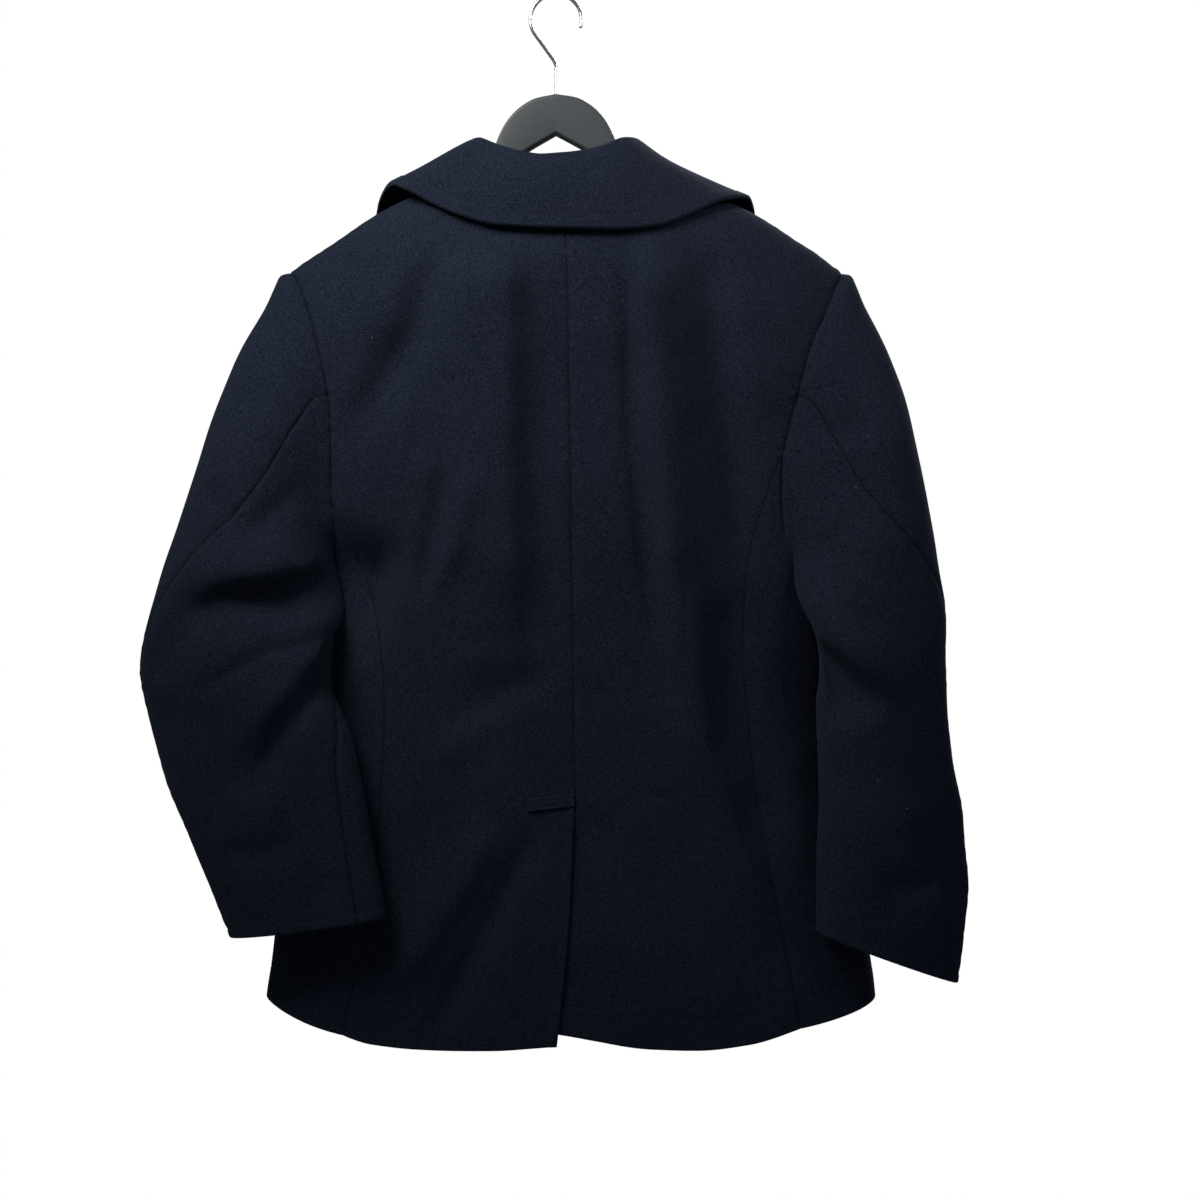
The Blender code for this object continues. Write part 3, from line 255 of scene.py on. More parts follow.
COLLAR = Table(
    "s roll_x roll_y roll_drop edge_x edge_y edge_drop",
    [
        (0.00, 0.0465, -0.0540, 0.1915, 0.1445, -0.0575, 0.2310),
        (0.10, 0.0530, -0.0460, 0.1700, 0.1590, -0.0440, 0.1990),
        (0.20, 0.0600, -0.0250, 0.1455, 0.1545, -0.0250, 0.1710),
        (0.30, 0.0635, 0.0040, 0.1290, 0.1410, 0.0040, 0.1590),
        (0.375, 0.0580, 0.0270, 0.1305, 0.1270, 0.0340, 0.1690),
        (0.42, 0.0420, 0.0370, 0.1375, 0.1050, 0.0440, 0.1830),
        (0.46, 0.0270, 0.0425, 0.1430, 0.0776, 0.0575, 0.1973),
        (0.50, 0.0110, 0.0455, 0.1465, 0.0444, 0.0655, 0.2071),
        (0.54, -0.0070, 0.0450, 0.1450, 0.0000, 0.0680, 0.2100),
        (0.58, -0.0250, 0.0420, 0.1415, -0.0450, 0.0670, 0.2110),
        (0.62, -0.0420, 0.0370, 0.1355, -0.0862, 0.0600, 0.2061),
        (0.655, -0.0535, 0.0290, 0.1295, -0.1108, 0.0515, 0.1953),
        (0.70, -0.0630, 0.0060, 0.1275, -0.1430, 0.0300, 0.1775),
        (0.76, -0.0640, -0.0140, 0.1360, -0.1650, 0.0000, 0.1710),
        (0.82, -0.0655, -0.0300, 0.1490, -0.1715, -0.0260, 0.1830),
        (0.90, -0.0650, -0.0460, 0.1700, -0.1720, -0.0440, 0.2010),
        (1.00, -0.0635, -0.0540, 0.1915, -0.1615, -0.0575, 0.2310),
    ],
)
# A sleeve ring's outer and inner edges, and half its depth from back to front.
SLEEVE = sided(
    "station outer_x outer_y outer_drop inner_x inner_y inner_drop half_depth",
    [
        (0.0, 0.2255, 0.000, 0.2350, 0.2210, 0.000, 0.5000, 0.052),
        (0.2, 0.2335, 0.000, 0.2385, 0.2275, 0.000, 0.5000, 0.054),
        (0.5, 0.2380, 0.000, 0.2470, 0.2290, 0.001, 0.5090, 0.056),
        (1.0, 0.2448, 0.001, 0.2627, 0.2280, 0.005, 0.5200, 0.057),
        (2.0, 0.2686, 0.003, 0.3094, 0.2245, 0.017, 0.5350, 0.058),
        (3.0, 0.2911, 0.006, 0.3695, 0.2185, 0.030, 0.5490, 0.057),
        (4.0, 0.3082, 0.010, 0.4289, 0.2110, 0.042, 0.5620, 0.055),
        (5.0, 0.3252, 0.016, 0.4882, 0.2030, 0.051, 0.5750, 0.051),
        (6.0, 0.3387, 0.022, 0.5343, 0.1940, 0.056, 0.5890, 0.046),
        (7.0, 0.3444, 0.027, 0.5703, 0.1800, 0.060, 0.6040, 0.041),
        (8.0, 0.3360, 0.031, 0.6134, 0.1666, 0.062, 0.6270, 0.036),
        (9.0, 0.3217, 0.035, 0.6630, 0.1585, 0.066, 0.6560, 0.031),
        (10.0, 0.3007, 0.038, 0.7126, 0.1489, 0.072, 0.7045, 0.028),
        (11.0, 0.2821, 0.041, 0.7577, 0.1410, 0.077, 0.7446, 0.025),
        (12.0, 0.2672, 0.044, 0.7912, 0.1360, 0.080, 0.7690, 0.023),
    ],
    [
        (0.0, -0.2425, 0.000, 0.2350, -0.2410, 0.000, 0.5000, 0.052),
        (0.2, -0.2505, 0.000, 0.2385, -0.2475, 0.000, 0.5000, 0.054),
        (0.5, -0.2545, 0.000, 0.2470, -0.2485, 0.001, 0.5090, 0.056),
        (1.0, -0.2601, 0.000, 0.2627, -0.2475, 0.005, 0.5190, 0.057),
        (2.0, -0.2831, 0.001, 0.3094, -0.2435, 0.017, 0.5340, 0.058),
        (3.0, -0.2994, 0.004, 0.3652, -0.2375, 0.030, 0.5490, 0.057),
        (4.0, -0.3105, 0.007, 0.4220, -0.2310, 0.041, 0.5640, 0.055),
        (5.0, -0.3174, 0.010, 0.4754, -0.2250, 0.049, 0.5800, 0.051),
        (6.0, -0.3233, 0.013, 0.5302, -0.2200, 0.054, 0.5970, 0.046),
        (7.0, -0.3236, 0.016, 0.5850, -0.2190, 0.056, 0.6170, 0.040),
        (8.0, -0.3285, 0.019, 0.6394, -0.2190, 0.055, 0.6430, 0.036),
        (9.0, -0.3391, 0.022, 0.6936, -0.2180, 0.056, 0.6790, 0.033),
        (10.0, -0.3430, 0.025, 0.7477, -0.2165, 0.057, 0.7186, 0.030),
        (11.0, -0.3400, 0.027, 0.7933, -0.2150, 0.058, 0.7553, 0.027),
        (12.0, -0.3353, 0.029, 0.8312, -0.2145, 0.059, 0.7846, 0.024),
    ],
)
# Where the seams lie around it, in degrees from the outer edge towards the back.
SLEEVE_SEAMS = sided(
    "station elbow front",
    [
        (0, 80, 249), (1, 82, 253), (2, 86, 251), (3, 82, 245), (4, 70, 236), (5, 50, 218), (6, 25, 196),
        (7, 12, 173), (8, 7, 156), (9, 6, 145), (12, 6, 136),
    ],
    [
        (0, 80, 249), (1, 84, 253), (2, 89, 252), (3, 84, 244), (4, 72, 233), (5, 52, 223), (6, 22, 214),
        (8, 4, 202), (12, 0, 200),
    ],
)
# Under the arm the sleeve's slack cloth falls in behind the body: how far, where and how high.
SLEEVE_TUCK = {Side.LEFT: (0.040, 0.530, 0.050), Side.RIGHT: (0.030, 0.520, 0.045)}
# How far a sleeve stays off the torso that it lies on.
SLEEVE_CLEAR = Table("station gap", [(0, 0), (0.2, 0.0025), (0.7, 0.005), (1.5, 0.006), (6, 0.006)])
HANGER = Table(
    "x top foot",
    [
        (0.000, 0.0840, 0.1183), (0.017, 0.0872, 0.1278), (0.029, 0.0935, 0.1350),
        (0.040, 0.1040, 0.1420), (0.049, 0.1200, 0.1490), (0.056, 0.1420, 0.1610),
        (0.063, 0.1605, 0.1750), (0.075, 0.1625, 0.1830), (0.188, 0.2090, 0.2260),
    ],
)


# ---- Folds -----------------------------------------------------------------------------------
@dataclass(frozen=True)
class Fold:
    """A soft ridge, or a trough if its height is below zero, along a path of two stretches.

    Its places are x and drop. Skew makes it steep on one side and soft on the other.
    """

    start: tuple[float, float]
    middle: tuple[float, float]
    end: tuple[float, float]
    half_width: float
    height: float
    skew: float = 0.0

    def rise(self, x: Grid, drop: Grid) -> Grid:
        """How far it raises the cloth at each place; it fades out towards both ends."""
        stretches = ((self.start, self.middle), (self.middle, self.end))
        total = sum(math.dist(*stretch) for stretch in stretches)
        nearest = np.full(np.broadcast(x, drop).shape, np.inf)
        share, begun = np.zeros(nearest.shape), 0.0
        for (x0, drop0), (x1, drop1) in stretches:
            step_x, step_drop = x1 - x0, drop1 - drop0
            length = math.hypot(step_x, step_drop)
            along = np.clip(((x - x0) * step_x + (drop - drop0) * step_drop) / length**2, 0, 1)
            off_x, off_drop = x - x0 - along * step_x, drop - drop0 - along * step_drop
            away = np.hypot(off_x, off_drop)
            if self.skew:
                turn = np.tanh((step_x * off_drop - step_drop * off_x) / (length * 0.002))
                away = away * (1 + self.skew * turn)
            share = np.where(away < nearest, (begun + along * length) / total, share)
            nearest = np.minimum(nearest, away)
            begun += length
        fade = ease((share + 0.04) / 0.24) * ease((1.04 - share) / 0.34)
        return self.height * fade * np.exp(-((nearest / self.half_width) ** 2))


def fold_height(folds: Sequence[Fold], x: Grid, drop: Grid) -> Grid:
    """How far all of the folds together raise the cloth at each place."""
    total = np.zeros(np.broadcast(x, drop).shape)
    for fold in folds:
        total = total + fold.rise(x, drop)
    return total


BACK_FOLDS = [
    Fold((0.084, 0.170), (0.115, 0.293), (0.178, 0.400), 0.018, -0.0135),
    Fold((0.040, 0.160), (0.040, 0.375), (0.036, 0.600), 0.025, 0.0160, 0.45),
    Fold((-0.058, 0.160), (-0.063, 0.375), (-0.084, 0.575), 0.008, -0.0048),
    Fold((-0.070, 0.165), (-0.086, 0.367), (-0.108, 0.590), 0.016, 0.0175, -0.4),
    Fold((-0.122, 0.180), (-0.140, 0.367), (-0.166, 0.530), 0.018, -0.0120),
    Fold((-0.112, 0.500), (-0.122, 0.631), (-0.184, 0.800), 0.016, 0.0105, 0.3),
    Fold((-0.138, 0.500), (-0.148, 0.594), (-0.184, 0.730), 0.015, -0.0095),
    Fold((0.105, 0.650), (0.056, 0.617), (-0.009, 0.588), 0.012, 0.0020),
    Fold((0.109, 0.628), (0.060, 0.596), (-0.009, 0.568), 0.012, -0.0019),
    Fold((0.048, 0.692), (0.085, 0.761), (0.137, 0.838), 0.017, 0.0090, 0.2),
    Fold((0.010, 0.690), (0.052, 0.778), (0.112, 0.890), 0.011, -0.0058),
    Fold((0.215, 0.480), (0.172, 0.488), (0.122, 0.498), 0.034, -0.0270, 0.35),
]
FRONT_FOLDS = [
    Fold((0.150, 0.300), (0.140, 0.360), (0.120, 0.420), 0.020, -0.0040),
    Fold((-0.150, 0.300), (-0.145, 0.370), (-0.130, 0.440), 0.020, -0.0040),
    Fold((0.205, 0.540), (0.195, 0.620), (0.205, 0.720), 0.016, -0.0030),
    Fold((-0.225, 0.540), (-0.215, 0.640), (-0.230, 0.740), 0.016, -0.0030),
]
SLEEVE_FOLDS = [
    Fold((0.188, 0.416), (0.218, 0.430), (0.254, 0.466), 0.009, -0.0048),
    Fold((0.286, 0.416), (0.272, 0.435), (0.257, 0.457), 0.007, -0.0030),
    Fold((0.220, 0.287), (0.238, 0.328), (0.255, 0.373), 0.020, -0.0050),
    Fold((0.187, 0.416), (0.189, 0.448), (0.192, 0.474), 0.010, 0.0090),
    Fold((0.185, 0.531), (0.205, 0.590), (0.252, 0.678), 0.012, -0.0070),
    Fold((0.195, 0.523), (0.228, 0.586), (0.260, 0.646), 0.014, 0.0050),
    Fold((0.206, 0.536), (0.255, 0.555), (0.299, 0.598), 0.008, -0.0030),
    Fold((0.271, 0.715), (0.239, 0.720), (0.202, 0.704), 0.011, -0.0040),
    Fold((0.271, 0.673), (0.239, 0.683), (0.202, 0.673), 0.014, 0.0026),
    Fold((0.288, 0.505), (0.308, 0.538), (0.325, 0.587), 0.014, -0.0060),
    Fold((-0.172, 0.378), (-0.216, 0.371), (-0.264, 0.373), 0.011, -0.0085),
    Fold((-0.201, 0.318), (-0.216, 0.325), (-0.235, 0.322), 0.008, -0.0026),
    Fold((-0.196, 0.425), (-0.210, 0.444), (-0.233, 0.464), 0.022, 0.0060),
    Fold((-0.250, 0.591), (-0.278, 0.657), (-0.305, 0.723), 0.017, 0.0060),
    Fold((-0.266, 0.752), (-0.286, 0.745), (-0.317, 0.747), 0.012, -0.0034),
    Fold((-0.239, 0.480), (-0.260, 0.513), (-0.287, 0.546), 0.010, -0.0030),
]


@dataclass(frozen=True)
class Overhang:
    """Slack cloth that hangs in a lip over a deep fold, along a path of x and drop.

    The cloth before the path bulges and sags past it; behind it the cloth sinks.
    """

    path: tuple[tuple[float, float], ...]
    bulge: float
    sink: float
    sag: float
    before: float = 0.016
    behind: float = 0.014
    flip: int = 1
    fade: tuple[float, float] = (0.18, 0.45)  # shares of the path that it comes and goes over
    crest: float = 0.010
    soft: float = 0.0048
    reach: float = 0.012

    def moves(self, x: Grid, drop: Grid) -> tuple[Grid, Grid, Grid]:
        """How far it moves the cloth at each place out, along x and down."""
        nearest = np.full(x.shape, np.inf)
        signed, way_x, way_drop = (np.zeros(x.shape) for _ in range(3))
        knots = np.array(self.path)
        for (x0, drop0), (x1, drop1) in zip(knots[:-1], knots[1:]):
            length = math.hypot(x1 - x0, drop1 - drop0)
            step_x, step_drop = (x1 - x0) / length, (drop1 - drop0) / length
            along = np.clip((x - x0) * step_x + (drop - drop0) * step_drop, 0, length)
            off_x, off_drop = x - x0 - along * step_x, drop - drop0 - along * step_drop
            away = np.hypot(off_x, off_drop)
            closer = away < nearest
            turn = np.sign(step_drop * off_x - step_x * off_drop) * self.flip
            nearest = np.where(closer, away, nearest)
            signed = np.where(closer, away * turn, signed)
            way_x = np.where(closer, -step_drop * self.flip, way_x)
            way_drop = np.where(closer, step_x * self.flip, way_drop)
        chord_x, chord_drop = knots[-1] - knots[0]
        share = (x - knots[0, 0]) * chord_x + (drop - knots[0, 1]) * chord_drop
        share = share / (chord_x**2 + chord_drop**2)
        taper = ease(share / self.fade[0]) * ease((1 - share) / self.fade[1])
        lip = (1 + np.tanh(signed / self.soft)) / 2
        out = self.bulge * lip * np.exp(-(((signed - self.crest) / self.before) ** 2))
        out = out - self.sink * (1 - lip) * np.exp(-((signed / self.behind) ** 2))
        sag = self.sag * np.tanh(signed / self.soft) * np.exp(-((signed / self.reach) ** 2))
        return out * taper, sag * way_x * taper, sag * way_drop * taper


OVERHANGS = {
    Side.LEFT: [
        Overhang(
            ((0.173, 0.464), (0.191, 0.476), (0.218, 0.489), (0.250, 0.498), (0.283, 0.505), (0.309, 0.531)),
            0.009, 0.020, 0.003, 0.020, 0.038,
        ),
    ],
    Side.RIGHT: [
        Overhang(
            ((-0.174, 0.435), (-0.201, 0.480), (-0.223, 0.518), (-0.259, 0.585), (-0.274, 0.611)),
            0.008, 0.030, 0.004, 0.018, 0.060, -1, (0.25, 0.30),
        ),
    ],
}
# Smaller creases, over the main folds.
BACK_CREASES = [
    Fold((0.114, 0.346), (0.111, 0.375), (0.110, 0.407), 0.006, -0.0030),
    Fold((0.089, 0.403), (0.101, 0.472), (0.112, 0.521), 0.009, -0.0060),
    Fold((0.067, 0.407), (0.079, 0.464), (0.101, 0.517), 0.010, 0.0052),
    Fold((0.081, 0.563), (0.044, 0.559), (0.007, 0.562), 0.008, 0.0020),
    Fold((-0.050, 0.673), (-0.078, 0.674), (-0.111, 0.670), 0.005, -0.0016, 0.4),
    Fold((-0.005, 0.229), (-0.010, 0.269), (-0.005, 0.318), 0.010, -0.0022),
    Fold((0.178, 0.580), (0.162, 0.573), (0.145, 0.568), 0.006, 0.0018),
    Fold((-0.034, 0.558), (-0.070, 0.552), (-0.111, 0.558), 0.012, 0.0012),
    Fold((0.085, 0.480), (0.044, 0.513), (0.011, 0.545), 0.016, -0.0016),
]
FRONT_CREASES = [
    Fold((0.060, 0.520), (0.075, 0.560), (0.100, 0.590), 0.012, -0.0018, 0.3),
    Fold((-0.060, 0.610), (-0.095, 0.640), (-0.125, 0.655), 0.012, -0.0018, 0.3),
    Fold((0.110, 0.790), (0.120, 0.830), (0.135, 0.866), 0.014, -0.0022),
    Fold((-0.120, 0.780), (-0.130, 0.820), (-0.140, 0.866), 0.014, 0.0022),
]
SLEEVE_FRONT_CREASES = [
    Fold((0.250, 0.480), (0.280, 0.500), (0.310, 0.530), 0.012, -0.0030),
    Fold((0.230, 0.560), (0.260, 0.590), (0.290, 0.620), 0.014, -0.0035),
    Fold((-0.250, 0.500), (-0.275, 0.530), (-0.300, 0.560), 0.013, -0.0030),
    Fold((-0.240, 0.620), (-0.270, 0.650), (-0.310, 0.670), 0.015, -0.0030),
]


@dataclass
class Ripple:
    """Gentle unevenness of hanging cloth: a few slow waves in fixed chance directions."""

    depth: float = 0.00045
    shortest: float = 0.035
    longest: float = 0.120
    waves: int = 9
    seed: int = RNG_SEED

    def __call__(self, points: Grid) -> Grid:
        """How far each point lies out from the plain form."""
        chance = np.random.default_rng(self.seed)
        total = np.zeros(points.shape[:-1])
        for _ in range(self.waves):
            way = chance.normal(size=3)
            way /= np.linalg.norm(way) * chance.uniform(self.shortest, self.longest)
            total += np.sin(2 * math.pi * (points @ way + chance.uniform()))
        return total * self.depth / math.sqrt(self.waves / 2)


# ---- Torso form ------------------------------------------------------------------------------
@dataclass
class Torso:
    """The body of the coat: sections down its length, under sloping shoulders."""

    plan_power: float = 2.2
    shoulder_round: float = 0.110
    neck_half: float = 0.070
    neck_dip: float = 0.024
    gorge: tuple[float, float] = (0.062, 0.195)
    lapel_break: tuple[float, float] = (-0.095, 0.440)
    hem: float = 0.868
    vent_top: float = 0.6745
    collar_foot: float = 0.205  # drop above which the back lies plain, under the collar
    collar_fade: float = 0.060
    recess_reach: float = 0.060  # how far beyond the vent's edge the right back sinks
    recess_fade: tuple[float, float] = (0.050, 0.030)  # across and down
    front_hem_rise: float = 0.014  # of its hem at the sides
    front_hem_half: float = 0.26

    def surface(self, side: int, out: Any, drop: Any, face: Any, lift: Any = 0.0) -> Grid:
        """Points of its outer surface.

        Args:
            side: the side that out is measured to.
            out: distance from the centre line.
            drop: distance below the origin.
            face: back or front, as a number or for each place.
            lift: how far the points are moved out.

        Returns:
            An array of points.
        """
        out, drop = np.broadcast_arrays(np.asarray(out, float), np.asarray(drop, float))
        x = TORSO("centre", drop) + side * out
        across = np.clip(np.abs(out) / TORSO("half_width", drop), 0, 1)
        plan = (1 - across**self.plan_power) ** (1 / self.plan_power)
        crest = np.clip((drop - SHOULDER("drop", np.abs(out))) / self.shoulder_round, 0, 1)
        full = plan * np.sqrt(1 - (1 - crest) ** 2)
        shown = ease((drop - self.collar_foot) / self.collar_fade)
        back = TORSO("back_depth", drop) + fold_height(BACK_FOLDS + BACK_CREASES, x, drop) * shown
        front = TORSO("front_depth", drop) + fold_height(FRONT_FOLDS + FRONT_CREASES, x, drop)
        depth = full * np.where(np.asarray(face) > 0, back, front)
        return np.stack([x, face * (depth + lift), -drop], -1)

    def front(self, side: int, out: Any, drop: Any, lift: Any = 0.0) -> Grid:
        """Points of one front, where the left one lies a layer over the right one."""
        return self.surface(side, out, drop, Face.FRONT, self.lap(side, out, drop) + lift)

    @staticmethod
    def lap(side: int, out: Any, drop: Any) -> Grid:
        """How far the left front is lifted to lie over the right one."""
        if side < 0:
            return np.zeros(np.broadcast(out, drop).shape)
        return LAYER * ease((LAP_OUT[0] - out) / LAP_OUT[1]) * ease((drop - LAP_DROP[0]) / LAP_DROP[1])

    def vent_recess(self, side: int, x: Grid, drop: Grid) -> Grid:
        """How far the right back sinks behind the left one along the vent."""
        if side > 0:
            return np.zeros(np.broadcast(x, drop).shape)
        beyond = ease((x - VENT_EDGE("x", drop) + self.recess_reach) / self.recess_fade[0])
        return LAYER * beyond * ease((drop - self.vent_top) / self.recess_fade[1])

    def neckline(self, s: Grid) -> tuple[Grid, Grid]:
        """Out and drop of the neckline from the left gorge, 0, by the shoulders, to 1."""
        turn = np.clip((s - 0.3) / 0.4, 0, 1) * math.pi
        out = self.neck_half * np.cos(turn)
        drop = SHOULDER("drop", np.abs(out)) + self.neck_dip * np.sin(turn) ** 2
        front = np.clip(np.where(s < 0.5, 0.3 - s, s - 0.7) / 0.3, 0, 1)
        out = out - np.sign(out) * (self.neck_half - self.gorge[0]) * front
        reach = self.gorge[1] - SHOULDER("drop", self.gorge[0])
        return out, drop + reach * np.sin(front * math.pi / 2)

    def hem_drop(self, side: int, x: Grid, face: int) -> Grid:
        """Drop of the hem at x."""
        if face > 0:
            return HEM_BACK[Side(side)]("drop", x)
        return self.hem - self.front_hem_rise * np.abs(np.asarray(x) / self.front_hem_half) ** 3

    def hem_foot(self, side: int, seam: Table, column: str, face: int) -> Grid:
        """Where a side seam meets the hem, as out and drop."""
        low = self.hem
        for _ in range(4):
            out = seam(column, low)
            low = self.hem_drop(side, TORSO("centre", low) + side * out, face)
        return np.array([out, low], float)

    def roll_line(self, share: Grid) -> Grid:
        """Places of the line that the lapel turns over, from its top to its foot."""
        return np.array(self.gorge) + np.multiply.outer(share, np.subtract(self.lapel_break, self.gorge))

    def side_angle(self, out: Grid, drop: Grid) -> Grid:
        """Where a distance out lies on a section, 0 at its side."""
        across = np.clip(out / TORSO("half_width", drop), 0, 1)
        return np.arccos(across ** (self.plan_power / 2))


def patch(top: Grid, bottom: Grid, inner: Grid, outer: Grid, u: Grid, v: Grid) -> Grid:
    """A grid of places that fills the space between four edges.

    Args:
        top, bottom: places along the first and last row.
        inner, outer: places along the first and last column.
        u, v: shares of the way across and down at the columns and rows.

    Returns:
        Out and drop for each row and column.
    """
    v, u = v[:, None, None], u[None, :, None]
    ruled = (1 - v) * top[None] + v * bottom[None] + (1 - u) * inner[:, None] + u * outer[:, None]
    corners = (1 - u) * (1 - v) * top[0] + u * (1 - v) * top[-1]
    corners = corners + (1 - u) * v * bottom[0] + u * v * bottom[-1]
    return ruled - corners


SEAM_STEPS = np.array([0.035, 0.08, 0.13, 0.28])
EDGE_STEPS = np.array([0.015, 0.04, 0.08, 0.12, 0.16, 0.25, 0.30, 0.35, 0.45])
LINE_STEPS = np.array([0.05, 0.10, 0.15])


def fine(
    count: int, seams: Sequence[float] = (), edges: Sequence[float] = (), lines: Sequence[float] = ()
) -> Grid:
    """Fine steps from 0 to count, closer together where the cloth has small relief.

    Args:
        count: the number of plain steps.
        seams: steps that lie along a seam.
        edges: steps that lie along a free edge.
        lines: steps near a line of stitches.

    Returns:
        Rising places, in plain steps.
    """
    near = [np.linspace(0, count, count * SUB + 1)]
    for marks, steps in ((seams, SEAM_STEPS), (edges, EDGE_STEPS), (lines, LINE_STEPS)):
        near += [mark + sign * steps for mark in marks for sign in (-1, 1)]
    places = np.unique(np.concatenate(near).round(4))
    places = places[(places >= 0) & (places <= count)]
    whole = np.abs(places - places.round()) < 1e-6
    spare = np.concatenate([[False], np.diff(places) < 0.0075]) & ~whole
    return places[~spare]


def at_rows(places: Grid, rows: Grid) -> Grid:
    """Numbers given for whole rows, read between them."""
    return np.interp(rows, np.arange(len(places)), places)


# ---- Panels ----------------------------------------------------------------------------------
@dataclass
class Panels:
    """The back, side and front panels of one side of the coat, as fine grids of points."""

    torso: Torso
    side: Side
    armhole_rows: int = 9
    seam_rows: int = 16
    columns: int = 9
    side_columns: int = 8
    crowding: float = 1.5
    shoulder_tip: float = 0.234
    join_front: float = 0.420
    armhole_low: float = 0.500
    front_lap: float = 0.095
    vent_lap: float = 0.041
    lap_corners: tuple[float, float] = (0.011, 0.038)  # drops of the underlap's top, below the vent's
    centre_seam: tuple[float, float, float] = (-0.0070, -0.0105, -0.0170)  # its x from neck to vent
    centre_bend: float = 0.25
    neck_rows: int = 4
    vent_row: int = 16
    roll_rows: int = 9
    gather: float = 1.2
    scoop: tuple[float, float] = (2.6, 1.8)  # powers of the armhole's curve at its back and front

    @property
    def join_back(self) -> float:
        """Drop where the side back seam meets the armhole."""
        return 0.434 if self.side > 0 else 0.394

    @property
    def elbow_row(self) -> int:
        """Armhole row where the sleeve's elbow seam starts."""
        return 6 if self.side > 0 else 7

    @property
    def rows(self) -> Grid:
        """Fine rows from the shoulder to the hem, counted in plain ones."""
        armhole = fine(self.armhole_rows, (0, 6, 7, self.armhole_rows))
        lower = fine(self.seam_rows, (0,), (self.seam_rows,), (self.seam_rows - 1,))
        return np.concatenate([armhole, lower[1:] + self.armhole_rows])

    @property
    def armhole_count(self) -> int:
        """Number of the fine row where the armhole ends."""
        return int(np.searchsorted(self.rows, self.armhole_rows - 1e-6))

    def across(self) -> Grid:
        """Fine columns from the inner edge to the outer one, counted in plain ones."""
        return fine(self.columns, (0, self.columns), (0,))

    def shoulder(self) -> Grid:
        """Places along the shoulder seam."""
        out = np.linspace(self.torso.neck_half, self.shoulder_tip, self.columns + 1)
        out = at_rows(out, self.across())
        return np.stack([out, SHOULDER("drop", out)], -1)

    def hem(self, inner_x: float, foot: Grid, face: int) -> Grid:
        """Places along the hem from an x on the inner edge to the side seam."""
        outer_x = TORSO("centre", foot[1]) + self.side * foot[0]
        x = inner_x + (outer_x - inner_x) * self.across() / self.columns
        drop = self.torso.hem_drop(self.side, x, face)
        return np.stack([self.side * (x - TORSO("centre", drop)), drop], -1)

    def outer(self, armhole: Table, seam: Table, column: str, join: float, foot: Grid) -> Grid:
        """Places down the armhole and then the side seam."""
        start = SHOULDER("drop", self.shoulder_tip)
        share = (np.arange(self.armhole_rows + 1) / self.armhole_rows) ** self.crowding
        drops = np.concatenate(
            [start + (join - start) * share, np.linspace(join, foot[1], self.seam_rows + 1)[1:]]
        )
        drop = at_rows(drops, self.rows)
        upper = self.rows <= self.armhole_rows
        return np.stack([np.where(upper, armhole(column, drop), seam(column, drop)), drop], -1)

    def place(self, x: Grid, drop: Grid) -> Grid:
        """Out and drop of places given by x and drop."""
        return np.stack([self.side * (x - TORSO("centre", drop)), drop], -1)

    def back(self) -> Grid:
        """Points of one half of the back, centre seam first."""
        side, torso = self.side, self.torso
        foot = torso.hem_foot(side, SIDE_BACK, side.word, Face.BACK)
        outer = self.outer(ARMHOLE_BACK, SIDE_BACK, side.word, self.join_back, foot)
        neck_rows, vent_row, total = self.neck_rows, self.vent_row, self.armhole_rows + self.seam_rows
        neck_foot = torso.neckline(np.array(0.5))[1]
        lap_start, lap_end = (torso.vent_top + corner for corner in self.lap_corners)
        hem_x = float(VENT_EDGE("x", 0.876)) if side > 0 else self.vent_lap
        hem = self.hem(hem_x, foot, Face.BACK)
        marks = [
            *np.full(neck_rows, neck_foot),
            *np.linspace(neck_foot, torso.vent_top, vent_row - neck_rows + 1),
            lap_start,
            *np.linspace(lap_end, hem[0, 1], total - vent_row - 1),
        ]
        rows = self.rows
        drop = at_rows(np.array(marks), rows)
        seam_x = smooth([neck_foot, self.centre_bend, torso.vent_top], self.centre_seam, drop)
        if side > 0:
            vent_x = VENT_EDGE("x", drop)
        else:
            starts = float(VENT_EDGE("x", lap_start)) - 0.0015, float(VENT_EDGE("x", lap_end)) + self.vent_lap
            lap_x = np.array([self.centre_seam[-1], *starts])
            lap_x = np.concatenate([lap_x, np.linspace(lap_x[2], self.vent_lap, total - vent_row - 1)[1:]])
            vent_x = np.interp(rows - vent_row, np.arange(len(lap_x)), lap_x)
        inner = self.place(np.where(rows <= vent_row, seam_x, vent_x), drop)
        at_neck = rows <= neck_rows
        s = 0.3 + 0.2 * np.clip(rows / neck_rows, 0, 1)
        neck = np.stack(torso.neckline(s), -1)
        middle = float(TORSO("centre", SHOULDER("drop", 0.0) + torso.neck_dip))
        shift = side * (self.centre_seam[0] - middle)
        neck[:, 0] += shift * np.clip(rows / neck_rows, 0, 1)
        inner = np.where(at_neck[:, None], neck, inner)
        hem[0] = inner[-1]
        places = patch(self.shoulder(), hem, inner, outer, self.across() / self.columns, rows / total)
        out, drop = places[..., 0], places[..., 1]
        recess = torso.vent_recess(side, TORSO("centre", drop) + side * out, drop)
        return torso.surface(side, out, drop, Face.BACK, -recess)

